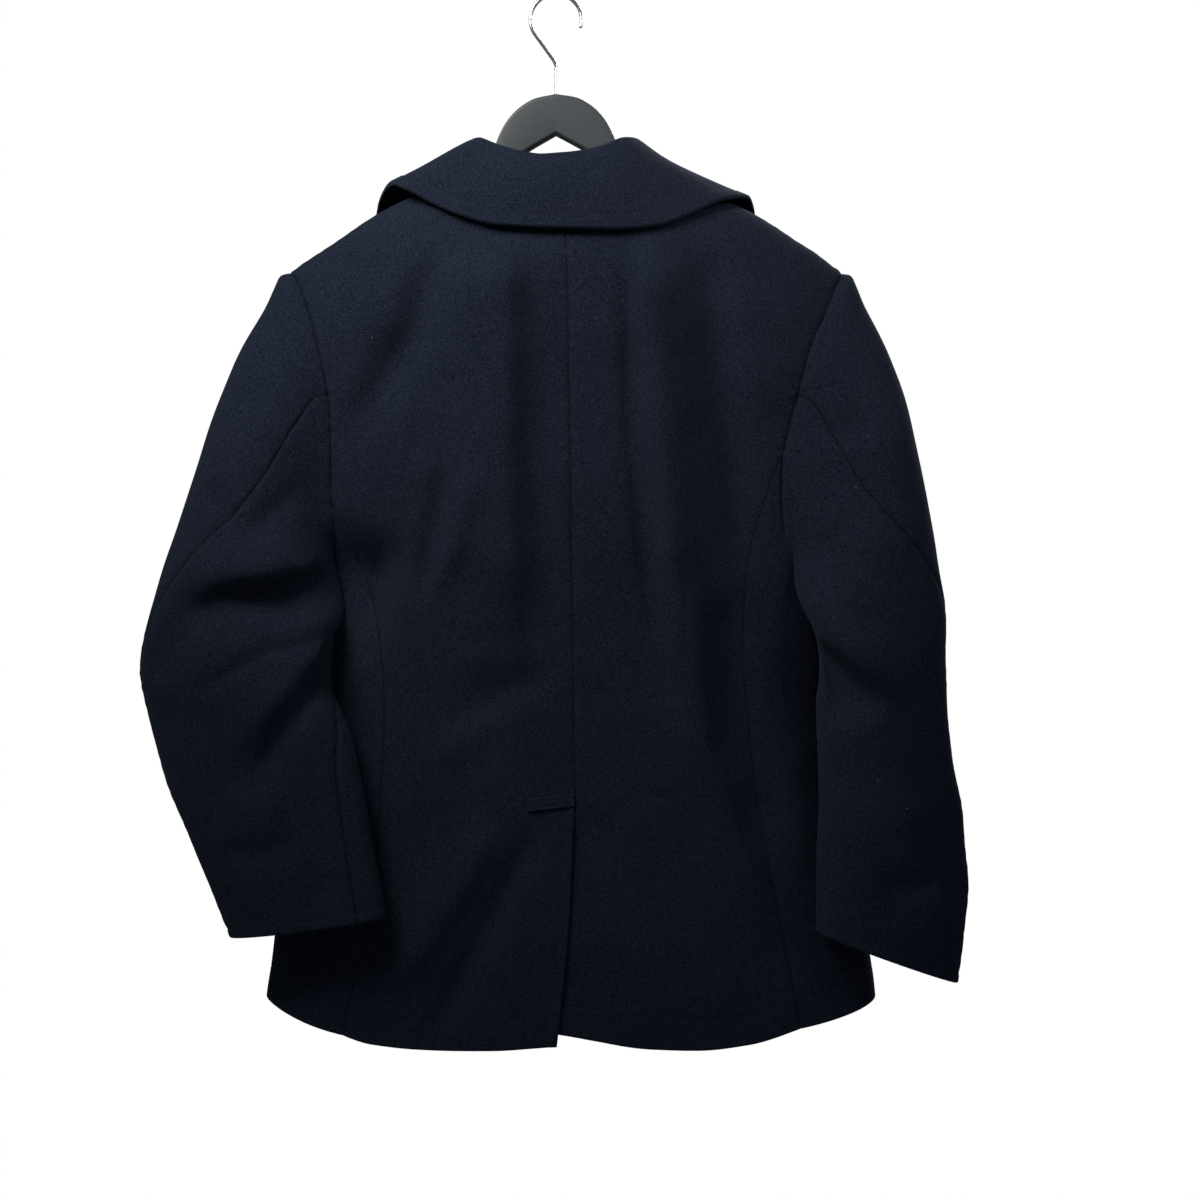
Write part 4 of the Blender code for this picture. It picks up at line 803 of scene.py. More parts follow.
    def front(self) -> Grid:
        """Points of one front, the opening's edge first."""
        side, torso = self.side, self.torso
        foot = torso.hem_foot(side, SIDE_FRONT, "out", Face.FRONT)
        outer = self.outer(ARMHOLE_FRONT, SIDE_FRONT, "out", self.join_front, foot)
        rows, total = self.rows, self.armhole_rows + self.seam_rows
        neck_rows, roll_rows = self.neck_rows, self.roll_rows
        edge_x = TORSO("centre", torso.hem) - side * self.front_lap
        hem = self.hem(edge_x, foot, Face.FRONT)
        neck = np.stack(torso.neckline(0.3 * (1 - np.clip(rows / neck_rows, 0, 1))), -1)
        roll = torso.roll_line(np.clip((rows - neck_rows) / roll_rows, 0, 1))
        low = np.clip((rows - neck_rows - roll_rows) / (total - neck_rows - roll_rows), 0, 1)
        break_drop = torso.lapel_break[1]
        edge_drop = break_drop + (hem[0, 1] - break_drop) * low
        edge = np.stack([np.full(len(rows), -self.front_lap), edge_drop], -1)
        inner = np.where((rows <= neck_rows)[:, None], neck, np.where((low <= 0)[:, None], roll, edge))
        hem[0] = inner[-1]
        places = patch(self.shoulder(), hem, inner, outer, self.across() / self.columns, rows / total)
        return torso.front(side, places[..., 0], places[..., 1])

    def under_arm(self) -> Grid:
        """Points of the panel under the arm, back seam first."""
        side, torso = self.side, self.torso
        back_foot = torso.hem_foot(side, SIDE_BACK, side.word, Face.BACK)
        front_foot = torso.hem_foot(side, SIDE_FRONT, "out", Face.FRONT)
        u = fine(self.side_columns, (0, self.side_columns)) / self.side_columns
        start = np.where(u < 0.5, self.join_back, self.join_front)
        power = np.where(u < 0.5, *self.scoop)
        top = self.armhole_low - (self.armhole_low - start) * np.abs(2 * u - 1) ** power
        corner = TORSO("centre", torso.hem) + side * (TORSO("half_width", torso.hem) - 0.004)
        side_drop = float(torso.hem_drop(side, corner, Face.BACK))
        bottom = smooth([0, 0.5, 1], [back_foot[1], side_drop, front_foot[1]], u)
        v = (self.rows[self.armhole_count :, None] - self.armhole_rows) / self.seam_rows
        drop = top + (bottom - top) * v
        back_drop = self.join_back + (back_foot[1] - self.join_back) * v
        front_drop = self.join_front + (front_foot[1] - self.join_front) * v
        back_angle = torso.side_angle(SIDE_BACK(side.word, back_drop), back_drop)
        front_angle = -torso.side_angle(SIDE_FRONT("out", front_drop), front_drop)
        gather = 1 + self.gather * np.clip(1 - 4 * v, 0, 1) ** 2
        near = np.where(u < 0.5, 0.5 * (2 * np.minimum(u, 0.5)) ** gather, u)
        angle = back_angle + (front_angle - back_angle) * near
        out = TORSO("half_width", drop) * np.cos(angle) ** (2 / torso.plan_power)
        return torso.surface(side, out, drop, np.where(angle >= 0, 1, -1))


# ---- Sleeves ---------------------------------------------------------------------------------
@dataclass
class SleeveForm:
    """One sleeve: rings from the armhole to the cuff, cut into an upper and an under piece."""

    torso: Torso
    panels: Panels
    power: float = 2.2
    last_station: float = 12.0
    cap_stations: float = 5.0
    clear_drop: float = 0.36  # it lies on the torso from here down
    clear_fade: float = 0.04
    row_count: int = 25

    def frame(self, station: Grid) -> tuple[Grid, Grid, Grid]:
        """Centre, half width vector and half depth vector of the rings."""
        table = SLEEVE[self.panels.side]
        outer, inner = table.points("outer", station), table.points("inner", station)
        half_width = (outer - inner) / 2
        across = half_width / np.linalg.norm(half_width, axis=-1, keepdims=True)
        backwards = np.array([0.0, 1.0, 0.0]) - across[..., 1:2] * across
        backwards /= np.linalg.norm(backwards, axis=-1, keepdims=True)
        return (outer + inner) / 2, half_width, backwards * table("half_depth", station)[..., None]

    def ring(self, station: Grid, angle: Grid) -> Grid:
        """Points of the rings at angles from the outer edge towards the back."""
        centre, half_width, half_depth = self.frame(station)
        cos, sin = np.cos(angle), np.sin(angle)
        across = np.sign(cos) * np.abs(cos) ** (2 / self.power)
        through = np.sign(sin) * np.abs(sin) ** (2 / self.power)
        return centre + across[..., None] * half_width + through[..., None] * half_depth

    def clear(self, points: Grid, station: Grid) -> Grid:
        """Moves points that are in the torso, or too near it, straight out."""
        x, y, drop = points[..., 0], points[..., 1], -points[..., 2]
        out = x - TORSO("centre", drop)
        back = TORSO("back_depth", drop) + fold_height(BACK_FOLDS, x, drop)
        depth = np.where(y > 0, back, TORSO("front_depth", drop))
        across = np.abs(out) / TORSO("half_width", drop)
        power = self.torso.plan_power
        reach = (across**power + (np.abs(y) / depth) ** power) ** (1 / power)
        gap = SLEEVE_CLEAR("gap", station)[:, None] * ease((drop - self.clear_drop) / self.clear_fade)
        wanted = 1 + gap / np.hypot(out, y)
        scale = np.where(gap > 0, np.maximum(1, wanted / reach), 1)
        return np.stack([out * scale + TORSO("centre", drop), y * scale, points[..., 2]], -1)

    def stations(self) -> Grid:
        """Fine stations from the armhole to the cuff."""
        coarse = np.concatenate([[0.0], np.linspace(0.2, self.last_station, self.row_count)])
        return at_rows(coarse, fine(self.row_count, (0,), (self.row_count,)))

    def grids(self, back: Grid, under: Grid, front: Grid) -> tuple[Grid, Grid]:
        """Points of the upper and under sleeve.

        Args:
            back, under, front: the panels' points, whose armhole the sleeve is sewn into.

        Returns:
            The upper sleeve's grid and the under sleeve's.
        """
        side, rows = self.panels.side, self.panels.armhole_count
        loop = np.concatenate([back[: rows + 1, -1], under[0, 1:], front[rows - 1 : 0 : -1, -1]])
        centre, half_width, half_depth = self.frame(np.zeros(len(loop)))
        away = loop - centre
        cos = (away * half_width).sum(1) / (half_width**2).sum(1)
        sin = (away * half_depth).sum(1) / (half_depth**2).sum(1)
        angle = np.unwrap(np.arctan2(sin, cos))
        angle -= 2 * math.pi * round(angle[0] / (2 * math.pi))
        first = int(np.searchsorted(self.panels.rows, self.panels.elbow_row - 1e-6))
        last = rows + under.shape[1] - 1
        station = self.stations()
        settle = (1 - np.clip(station / 2, 0, 1)) ** 2
        elbow = np.radians(SLEEVE_SEAMS[side]("elbow", station))
        seam = np.radians(SLEEVE_SEAMS[side]("front", station))
        elbow = elbow + (angle[first] - elbow[0]) * settle
        seam = seam + (angle[last] - seam[0]) * settle
        made = []
        for pick, start, end in (
            (np.arange(first, last + 1), elbow, seam),
            (np.arange(last, len(loop) + first + 1), seam, elbow + 2 * math.pi),
        ):
            own = np.concatenate([angle, angle + 2 * math.pi])[pick]
            share = (own - own[0]) / (own[-1] - own[0])
            angles = start[:, None] + (end - start)[:, None] * share
            points = self.ring(np.repeat(station[:, None], len(pick), 1), angles)
            fade = (1 - np.clip(station / self.cap_stations, 0, 1)) ** 2
            points = points + (loop[pick % len(loop)] - points[0])[None] * fade[:, None, None]
            made.append(self.drape(points, angles, station, loop[pick % len(loop)]))
        return made[1], made[0]

    def drape(self, points: Grid, angles: Grid, station: Grid, start: Grid) -> Grid:
        """Adds the sleeve's folds, tucks its slack under the arm and keeps it off the torso."""
        side = self.panels.side
        x, drop, below = points[..., 0], -points[..., 2], ease(station / 3)[:, None]
        behind = ease(np.sin(angles) * 1.5) * below
        ahead = ease(-np.sin(angles) * 1.5) * below
        rise = fold_height(SLEEVE_FOLDS, x, drop) * behind
        rise = rise - fold_height(SLEEVE_FRONT_CREASES, x, drop) * ahead
        points[..., 1] += rise
        for overhang in OVERHANGS[side]:
            out, shift, sag = overhang.moves(x, drop)
            points += np.stack([shift, out, -sag], -1) * behind[..., None]
        width, centre, height = SLEEVE_TUCK[side]
        tuck = width * np.exp(-(((points[..., 2] + centre) / height) ** 2)) * ease(points[..., 1] / 0.03)
        points[..., 0] -= side * tuck * ease(0.5 - 0.8 * np.cos(angles))
        moved = self.clear(points, station)
        moved[0] = start
        return moved


# ---- Cloth -----------------------------------------------------------------------------------
def unit(vectors: Grid) -> Grid:
    """The vectors at length 1."""
    return vectors / (np.linalg.norm(vectors, axis=-1, keepdims=True) + 1e-12)


def grid_normals(grid: Grid, flip: int) -> Grid:
    """Unit normals at the points of a grid, from the faces around each."""
    face = np.cross(grid[1:, 1:] - grid[:-1, :-1], grid[1:, :-1] - grid[:-1, 1:])
    face = unit(face) * flip
    total = np.zeros_like(grid)
    for rows in (slice(None, -1), slice(1, None)):
        for columns in (slice(None, -1), slice(1, None)):
            total[rows, columns] += face
    return unit(total)


def rim_mask(shape: Sequence[int]) -> Grid:
    """True at the outermost rows and columns of a grid."""
    mask = np.ones(shape[:2], bool)
    mask[1:-1, 1:-1] = False
    return mask


def sew(grids: dict[str, tuple[Grid, int]]) -> dict[str, tuple[Grid, Grid]]:
    """Gives pieces that share points along their seams their thickness.

    Each shared point steps inwards by the full thickness from every piece that meets there,
    and each piece draws back from its neighbours by half of the seam's gap.

    Args:
        grids: each piece's outer points, and +1 or -1 for the side that its normals are on.

    Returns:
        Each piece's outer and inner points.
    """
    normals: dict[str, Grid] = {name: grid_normals(grid, flip) for name, (grid, flip) in grids.items()}
    at_spot: dict[tuple[float, ...], list[Grid]] = {}
    lean_at: dict[tuple[float, ...], dict[str, Grid]] = {}
    for name, (grid, _) in grids.items():
        down, across = np.gradient(grid, axis=0), np.gradient(grid, axis=1)
        rows, columns = grid.shape[:2]
        for r, c in zip(*np.nonzero(rim_mask(grid.shape))):
            spot = tuple(np.round(grid[r, c], 6))
            at_spot.setdefault(spot, []).append(normals[name][r, c])
            lean = np.zeros(3)
            for at_end, sign, into, along in (
                (r in (0, rows - 1), 1 if r == 0 else -1, down[r, c], across[r, c]),
                (c in (0, columns - 1), 1 if c == 0 else -1, across[r, c], down[r, c]),
            ):
                if at_end:
                    along = unit(along)
                    lean += unit(into - along * np.dot(into, along)) * sign
            lean_at.setdefault(spot, {})[name] = unit(lean)
    walls = {}
    for name, (grid, _) in grids.items():
        outer, step = grid.copy(), normals[name] * CLOTH
        for r, c in zip(*np.nonzero(rim_mask(grid.shape))):
            spot = tuple(np.round(grid[r, c], 6))
            others = [lean for other, lean in lean_at[spot].items() if other != name]
            if not others:
                continue
            count = len(at_spot[spot])
            mitre = np.linalg.lstsq(np.array(at_spot[spot]), np.ones(count), 0.1)[0]
            step[r, c] = mitre * CLOTH * min(1, MITRE_LIMIT / (np.linalg.norm(mitre) + 1e-12))
            outer[r, c] += unit(lean_at[spot][name] - np.mean(others, axis=0)) * SEAM_GAP * 0.6
        walls[name] = (outer, outer - step)
    return walls


@dataclass
class Border:
    """How one side of a piece ends."""

    free: Any = 0.0  # 1 along a free edge, 0 along a seam, as a number or for each point
    dip: float = 0.0009  # how far a seam lies in
    stitches: tuple[float, ...] = ()  # distances of its stitch lines from it
    stitched: Any = 1.0  # 1 where those lines run


def around(*borders: Border) -> dict[Brink, Border]:
    """How a piece ends at its first and last row and at its first and last column."""
    return dict(zip(Brink, borders))


@dataclass
class Cloth:
    """A piece of cloth with real thickness, pressed edges, seams that lie in and stitch lines."""

    name: str
    outer: Grid
    inner: Grid
    borders: dict[Brink, Border] = field(default_factory=dict)
    hem_cloth: float = 0.0  # extra thickness of a turned-up hem
    hem_reach: float = 0.030
    pucker: float = 0.00022
    puff: float = 0.0004
    seam_width: float = 0.0036
    groove_width: float = 0.0010
    pucker_width: float = 0.009
    stitch_depth: float = 0.0004
    stitch_width: float = 0.0012
    wear_width: float = 0.0030
    ripple: Ripple = field(default_factory=Ripple)
    wear: Grid | None = None
    # painted shade: how far each seam's groove darkens the colour, from 0 to 1
    shut: Grid | None = None

    def distance(self, brink: Brink) -> Grid:
        """How far along the cloth each point is from one side."""
        axis = 0 if brink in ACROSS else 1
        steps = np.linalg.norm(np.diff(self.outer, axis=axis), axis=2)
        pad = np.zeros([1 if k == axis else n for k, n in enumerate(self.outer.shape[:2])])
        if brink in (Brink.FIRST_ROW, Brink.FIRST_COLUMN):
            return np.cumsum(np.concatenate([pad, steps], axis), axis)
        back = np.flip(np.cumsum(np.flip(steps, axis), axis), axis)
        return np.concatenate([back, pad], axis)

    @staticmethod
    def spread(value: Any, brink: Brink) -> Any:
        """A value given for each point of a side, ready for the whole grid."""
        value = np.asarray(value, float)
        if value.ndim == 0:
            return value
        return value[None, :] if brink in ACROSS else value[:, None]

    def finish(self) -> "Cloth":
        """Rounds free edges, lowers seams and stitch lines and adds the cloth's unevenness."""
        away = self.outer - self.inner
        thick = np.linalg.norm(away, axis=2)
        away = unit(away)
        lower, round_off, extra, self.wear, self.shut = (np.zeros(thick.shape) for _ in range(5))
        for brink, border in self.borders.items():
            far = self.distance(brink)
            free, stitched = self.spread(border.free, brink), self.spread(border.stitched, brink)
            widths = (self.seam_width, self.groove_width)
            seam, groove = ((1 - free) * np.exp(-((far / width) ** 2)) for width in widths)
            lower += border.dip * (seam + 0.5 * groove)
            # painted shade in the seam's groove, kept for the wool's colour
            self.shut = np.maximum(self.shut, groove * min(border.dip / Border.dip, 1.0))
            waves = np.sin(self.outer @ np.array([310.0, 170.0, 420.0]))
            waves = waves + np.sin(self.outer @ np.array([-190.0, 260.0, 610.0]) + 1.3)
            lower += self.pucker * waves * (1 - free) * np.exp(-((far / self.pucker_width) ** 2))
            if self.hem_cloth and brink is Brink.LAST_ROW:
                extra += self.hem_cloth * free * ease((self.hem_reach - far) / 0.004)
            for line in border.stitches:
                lower += self.stitch_depth * stitched * np.exp(-(((far - line) / self.stitch_width) ** 2))
                if line < 0.015:
                    lower -= self.puff * stitched * ease(far / 0.002) * ease((line - far) / 0.0025)
            radius = (thick + extra) / 2
            near = np.clip(far + 0.10 * radius, 0, radius)
            ball = radius - np.sqrt(np.maximum(radius**2 - (radius - near) ** 2, 0))
            round_off = np.maximum(round_off, ball * free)
            self.wear += 0.8 * free * np.exp(-((far / self.wear_width) ** 2))
        lower = lower - self.ripple(self.outer)
        outer = self.outer - away * (lower + round_off)[..., None]
        self.inner = self.inner - away * (lower + extra - round_off)[..., None]
        self.outer = outer
        self.wear = np.clip(self.wear, 0, 1)
        return self

    def line(self, brink: Brink, far: float) -> list[tuple[Grid, Grid]]:
        """A line of stitches on the cloth at a distance from one side.

        Args:
            brink: the side.
            far: the distance.

        Returns:
            The stretches that are sewn: their points, and the way out of the cloth at each.
        """
        border = self.borders[brink]
        others = [b for b, o in self.borders.items() if o.stitches and b is not brink]
        others = [b for b in others if (b in ACROSS) != (brink in ACROSS)]
        sheets = [self.outer, unit(self.outer - self.inner)] + [self.distance(b)[..., None] for b in others]
        cloth = self.distance(brink)
        if brink in ACROSS:
            cloth, sheets = cloth.T, [sheet.transpose(1, 0, 2) for sheet in sheets]
        if brink in (Brink.LAST_ROW, Brink.LAST_COLUMN):
            cloth, sheets = cloth[:, ::-1], [sheet[:, ::-1] for sheet in sheets]
        place = np.array([np.interp(far, row, np.arange(len(row))) for row in cloth])
        low = np.minimum(np.floor(place).astype(int), cloth.shape[1] - 2)
        share = (place - low)[:, None]
        row = np.arange(len(low))
        points, ways, *apart = (g[row, low] * (1 - share) + g[row, low + 1] * share for g in sheets)
        kept = np.broadcast_to(np.asarray(border.stitched, float), len(points)) > 0.5
        for other, distance in zip(others, apart):
            kept = kept & (distance[:, 0] > min(self.borders[other].stitches) - 0.0004)
        breaks = np.flatnonzero(np.diff(kept.astype(int))) + 1
        runs = [run for run in np.split(row, breaks) if kept[run[0]] and len(run) > 2]
        return [(points[run], unit(ways[run])) for run in runs]

    def stitch_lines(self) -> list[tuple[Grid, Grid]]:
        """All of its lines of stitches."""
        places = [(brink, far) for brink, border in self.borders.items() for far in border.stitches]
        return [run for brink, far in places for run in self.line(brink, far)]

    def cut(self) -> tuple[float, float, float]:
        """Width, length and area of the cloth that it is cut from."""
        middle = (self.outer + self.inner) / 2
        width = np.linalg.norm(np.diff(middle, axis=1), axis=2).sum(1).max()
        length = np.linalg.norm(np.diff(middle, axis=0), axis=2).sum(0).max()
        cross = np.cross(middle[1:, 1:] - middle[:-1, :-1], middle[1:, :-1] - middle[:-1, 1:])
        area = np.linalg.norm(cross, axis=2).sum() / 2
        return float(width), float(length), float(min(area, width * length))

    def mesh(self) -> Mesh:
        """A closed mesh of the wall, with its wear and the painted shade of its seams' grooves kept as
        attributes.
        """
        rows, columns = self.outer.shape[:2]
        count = rows * columns
        index = np.arange(count).reshape(rows, columns)
        front = np.stack([index[:-1, :-1], index[1:, :-1], index[1:, 1:], index[:-1, 1:]], -1).reshape(-1, 4)
        back = front[:, [0, 3, 2, 1]] + count
        edge = np.concatenate([index[0, :-1], index[:-1, -1], index[-1, :0:-1], index[:0:-1, 0]])
        after = np.roll(edge, -1)
        rim = np.stack([edge, after, after + count, edge + count], -1)
        rim[after < edge] = rim[after < edge][:, [1, 2, 3, 0]]
        faces = np.concatenate([front, back, rim])
        points = np.concatenate([self.outer.reshape(-1, 3), self.inner.reshape(-1, 3)])
        tall = np.cross(points[front[:, 2]] - points[front[:, 0]], points[front[:, 3]] - points[front[:, 1]])
        if (tall * (self.outer - self.inner).reshape(-1, 3)[front[:, 0]]).sum() < 0:
            faces = faces[:, [0, 3, 2, 1]]
        mesh = bpy.data.meshes.new(self.name)
        mesh.from_pydata(points.tolist(), [], faces.tolist())
        for name, values in (("wear", self.wear), ("shut", self.shut)):
            made = mesh.attributes.new(name, "FLOAT", "POINT")
            made.data.foreach_set("value", np.tile(values.reshape(-1), 2).astype(np.float32))
        return mesh


# ---- Materials -------------------------------------------------------------------------------
class Shade:
    """A socket of a material, whose arithmetic adds Math nodes."""

    def __init__(self, paint: "Paint", socket: bpy.types.NodeSocket) -> None:
        """Wraps one output socket."""
        self.paint, self.socket = paint, socket

    def _math(self, operation: str, *values: Any, clamp: bool = False) -> "Shade":
        """A Math node on values."""
        return self.paint.node("ShaderNodeMath", {"operation": operation, "use_clamp": clamp}, *values)

    def __add__(self, other: Any) -> "Shade":
        """Sum."""
        return self._math("ADD", self, other)

    def __sub__(self, other: Any) -> "Shade":
        """Difference."""
        return self._math("SUBTRACT", self, other)

    def __rsub__(self, other: Any) -> "Shade":
        """Difference with a number first."""
        return self._math("SUBTRACT", other, self)

    def __mul__(self, other: Any) -> "Shade":
        """Product."""
        return self._math("MULTIPLY", self, other)

    __radd__, __rmul__ = __add__, __mul__

    def below(self, limit: Any) -> "Shade":
        """1 where it is less than limit."""
        return self._math("LESS_THAN", self, limit)

    def clamped(self) -> "Shade":
        """Kept from 0 to 1."""
        return self._math("ADD", self, 0.0, clamp=True)


def dimmed(colour: Colour, share: float) -> Colour:
    """A colour at a share of its brightness."""
    return (*(channel * share for channel in colour[:3]), 1)


class Paint:
    """The nodes of one material, around its Principled shader."""

    def __init__(self, name: str) -> None:
        """Starts a material with this name."""
        self.material = bpy.data.materials.new(name)
        self.material.use_nodes = True
        self.tree = self.material.node_tree
        self.shader = self.tree.nodes["Principled BSDF"]

    def node(self, kind: str, settings: dict[str, Any], *values: Any, output: Any = 0, **named: Any) -> Shade:
        """Adds a node.

        Args:
            kind: its type.
            settings: what is set on the node itself.
            values: numbers or links for its first sockets.
            output: name or number of the socket to return.
            named: numbers or links for sockets by name, with _ for a space.

        Returns:
            The output socket.
        """
        node = self.tree.nodes.new(kind)
        for key, value in settings.items():
            setattr(node, key, value)
        for socket, value in zip(node.inputs, values):
            self.put(socket, value)
        for key, value in named.items():
            self.put(node.inputs[key.replace("_", " ")], value)
        return Shade(self, node.outputs[output])

    def put(self, socket: bpy.types.NodeSocket, value: Any) -> None:
        """Links or sets one socket."""
        if isinstance(value, Shade):
            self.tree.links.new(value.socket, socket)
        else:
            socket.default_value = value

    def mix(self, share: Any, one: Any, two: Any) -> Shade:
        """Mixes two colours."""
        node = self.tree.nodes.new("ShaderNodeMix")
        node.data_type = "RGBA"
        for socket, value in ((node.inputs[0], share), (node.inputs[6], one), (node.inputs[7], two)):
            self.put(socket, value)
        return Shade(self, node.outputs[2])

    def place(self, scale: tuple[float, float, float] = (1, 1, 1)) -> Shade:
        """The piece's own coordinates in metres, scaled."""
        coordinates = self.node("ShaderNodeTexCoord", {}, output="Object")
        if scale == (1, 1, 1):
            return coordinates
        return self.node("ShaderNodeMapping", {"vector_type": "POINT"}, Vector=coordinates, Scale=scale)

    def noise(self, where: Shade, scale: float, detail: float, rough: float) -> Shade:
        """Soft chance values around a half."""
        return self.node("ShaderNodeTexNoise", {}, Vector=where, Scale=scale, Detail=detail, Roughness=rough)

    def bump(self, height: Shade, distance: float, strength: float) -> None:
        """Raises the surface in its shading."""
        raised = self.node(
            "ShaderNodeBump", {}, Height=height, Distance=distance, Strength=strength, output="Normal"
        )
        self.put(self.shader.inputs["Normal"], raised)

    def finish(self, **values: Any) -> Material:
        """Sets the shader's sockets, given by name with _ for a space."""
        for key, value in values.items():
            self.put(self.shader.inputs[key.replace("_", " ")], value)
        return self.material


@dataclass(frozen=True)
class MeltonWool:
    """Thick navy wool with a felted nap: mottled, fuzzy, with some lint, paler worn edges and painted shade
    in its seams' grooves.
    """

    dark: Colour = (0.0026, 0.0048, 0.0105, 1)
    light: Colour = (0.0200, 0.0250, 0.0400, 1)
    worn: Colour = (0.0180, 0.0230, 0.0350, 1)
    # painted shade: the colour that the seams' grooves are darkened towards
    deep: Colour = (0.0018, 0.0028, 0.0056, 1)
    lint: Colour = (0.20, 0.20, 0.21, 1)
    sheen: float = 0.030
    sheen_tint: Colour = (0.60, 0.68, 0.85, 1)
    roughness: float = 1.0

    def material(self) -> Material:
        """Builds the finish."""
        paint = Paint("melton_wool")
        where = paint.place()
        nap = paint.noise(where, 760, 5, 0.85)
        felt = paint.noise(where, 260, 4, 0.65)
        cloud = paint.noise(where, 11, 3, 0.50)
        tone = (nap * 4.60 + felt * 0.35 + cloud * 0.4 - 2.24).clamped()
        colour = paint.mix(tone, self.dark, self.light)
        wear = paint.node("ShaderNodeAttribute", {"attribute_name": "wear"}, output="Fac")
        colour = paint.mix((wear * (nap * 1.1 - 0.20)).clamped(), colour, self.worn)
        # painted shade along the seams' grooves, weaker where the nap stands high
        shut = paint.node("ShaderNodeAttribute", {"attribute_name": "shut"}, output="Fac")
        colour = paint.mix((shut * (0.85 - nap * 0.5)).clamped(), colour, self.deep)
        bend = paint.node("ShaderNodeTexNoise", {}, Vector=where, Scale=120.0, Detail=1.0, output="Color")
        bend = paint.node("ShaderNodeVectorMath", {"operation": "SCALE"}, bend, Scale=0.010)
        bent = paint.node("ShaderNodeVectorMath", {"operation": "ADD"}, where, bend)
        cells = paint.node(
            "ShaderNodeTexVoronoi", {"feature": "F1"}, Vector=bent, Scale=48.0, output="Distance"
        )
        rare = paint.noise(where, 31, 2, 0.5)
        speck = cells.below(0.030) * (1 - rare.below(0.56))
        colour = paint.mix(speck * 0.55, colour, self.lint)
        paint.bump(nap * 0.7 + felt * 0.5, 0.0007, 0.55)
        return paint.finish(
            Base_Color=colour,
            Roughness=self.roughness,
            Specular_IOR_Level=0.03,
            Sheen_Weight=self.sheen,
            Sheen_Roughness=0.55,
            Sheen_Tint=self.sheen_tint,
        )


@dataclass(frozen=True)
class WoolThread:
    """Navy sewing thread, a little smoother than the cloth."""

    colour: Colour = (0.0075, 0.0105, 0.0190, 1)

    def material(self) -> Material:
        """Builds the finish."""
        paint = Paint("navy_thread")
        twist = paint.noise(paint.place(), 1500, 2, 0.6)
        tint = paint.mix(twist, dimmed(self.colour, 0.7), self.colour)
        return paint.finish(Base_Color=tint, Roughness=0.62, Specular_IOR_Level=0.25)


@dataclass(frozen=True)
class HangerPlastic:
    """Moulded dark grey plastic with a fine matte grain and light rub marks."""

    colour: Colour = (0.040, 0.044, 0.046, 1)
    rubbed: Colour = (0.058, 0.063, 0.065, 1)

    def material(self) -> Material:
        """Builds the finish."""
        paint = Paint("hanger_plastic")
        where = paint.place()
        grain = paint.noise(where, 900, 3, 0.6)
        cloud = paint.noise(where, 22, 3, 0.5)
        rub = paint.noise(paint.place((1.0, 1.0, 6.0)), 90, 4, 0.7)
        colour = paint.mix((cloud * 0.6 + rub * 0.5 - 0.30).clamped(), self.colour, self.rubbed)
        paint.bump(grain, 0.00012, 0.35)
        return paint.finish(Base_Color=colour, Roughness=0.42 + 0.12 * rub, Specular_IOR_Level=0.45)


@dataclass(frozen=True)
class WireChrome:
    """Plated steel wire with faint drawing lines."""

    colour: Colour = (0.78, 0.79, 0.80, 1)

    def material(self) -> Material:
        """Builds the finish."""
        paint = Paint("wire_chrome")
        lines = paint.noise(paint.place(), 700, 3, 0.6)
        tint = paint.mix(lines, dimmed(self.colour, 0.85), self.colour)
        paint.bump(lines, 0.00004, 0.3)
        return paint.finish(Base_Color=tint, Metallic=1.0, Roughness=0.14 + 0.10 * lines)


@dataclass(frozen=True)
class ButtonHorn:
    """Near-black button plastic, polished, with faint horn-like clouds."""

    colour: Colour = (0.0075, 0.0085, 0.0120, 1)
    cloud: Colour = (0.0200, 0.0205, 0.0240, 1)

    def material(self) -> Material:
        """Builds the finish."""
        paint = Paint("button_horn")
        where = paint.place((1.0, 1.0, 2.5))
        streak = paint.noise(where, 160, 4, 0.6)
        scratch = paint.noise(where, 1300, 2, 0.5)
        colour = paint.mix((streak * 1.6 - 0.5).clamped(), self.colour, self.cloud)
        paint.bump(scratch, 0.00004, 0.3)
        return paint.finish(Base_Color=colour, Roughness=0.26 + 0.16 * streak, Specular_IOR_Level=0.5)


@dataclass(frozen=True)
class PaleFloor:
    """Plain pale studio floor."""

    colour: Colour = (0.88, 0.88, 0.88, 1)

    def material(self) -> Material:
        """Builds the finish."""
        paint = Paint("pale_floor")
        soft = paint.noise(paint.place(), 3, 3, 0.5)
        colour = paint.mix(soft, dimmed(self.colour, 0.98), self.colour)
        return paint.finish(Base_Color=colour, Roughness=0.85)


# ---- Pieces ----------------------------------------------------------------------------------
def link(name: str, data: Any) -> Object:
    """Puts an object with this data in the scene."""
    made = bpy.data.objects.new(name, data)
    bpy.context.scene.collection.objects.link(made)
    return made


def closed(bm: bmesh.types.BMesh, name: str) -> Mesh:
    """Ends the building of a mesh and names it."""
    mesh = bpy.data.meshes.new(name)
    bm.to_mesh(mesh)
    bm.free()
    return mesh


def show(mesh: Mesh, finish: Material, sharp: float = 50.0) -> Object:
    """Puts a finished mesh in the scene, at the origin, shaded smooth."""
    mesh.materials.clear()
    mesh.materials.append(finish)
    mesh.shade_smooth()
    mesh.set_sharp_from_angle(angle=math.radians(sharp))
    return link(mesh.name, mesh)


def register(piece: Object, slot: str, *nodes: str) -> Object:
    """Ties a piece to the frame: it rides on the one body and stands for its CAD nodes."""
    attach(piece, "root")
    if nodes:
        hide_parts(*nodes)
    triangles = sum(len(p.vertices) - 2 for p in piece.data.polygons)
    LOG.info("%s: %d triangles", piece.name, triangles)
    return piece


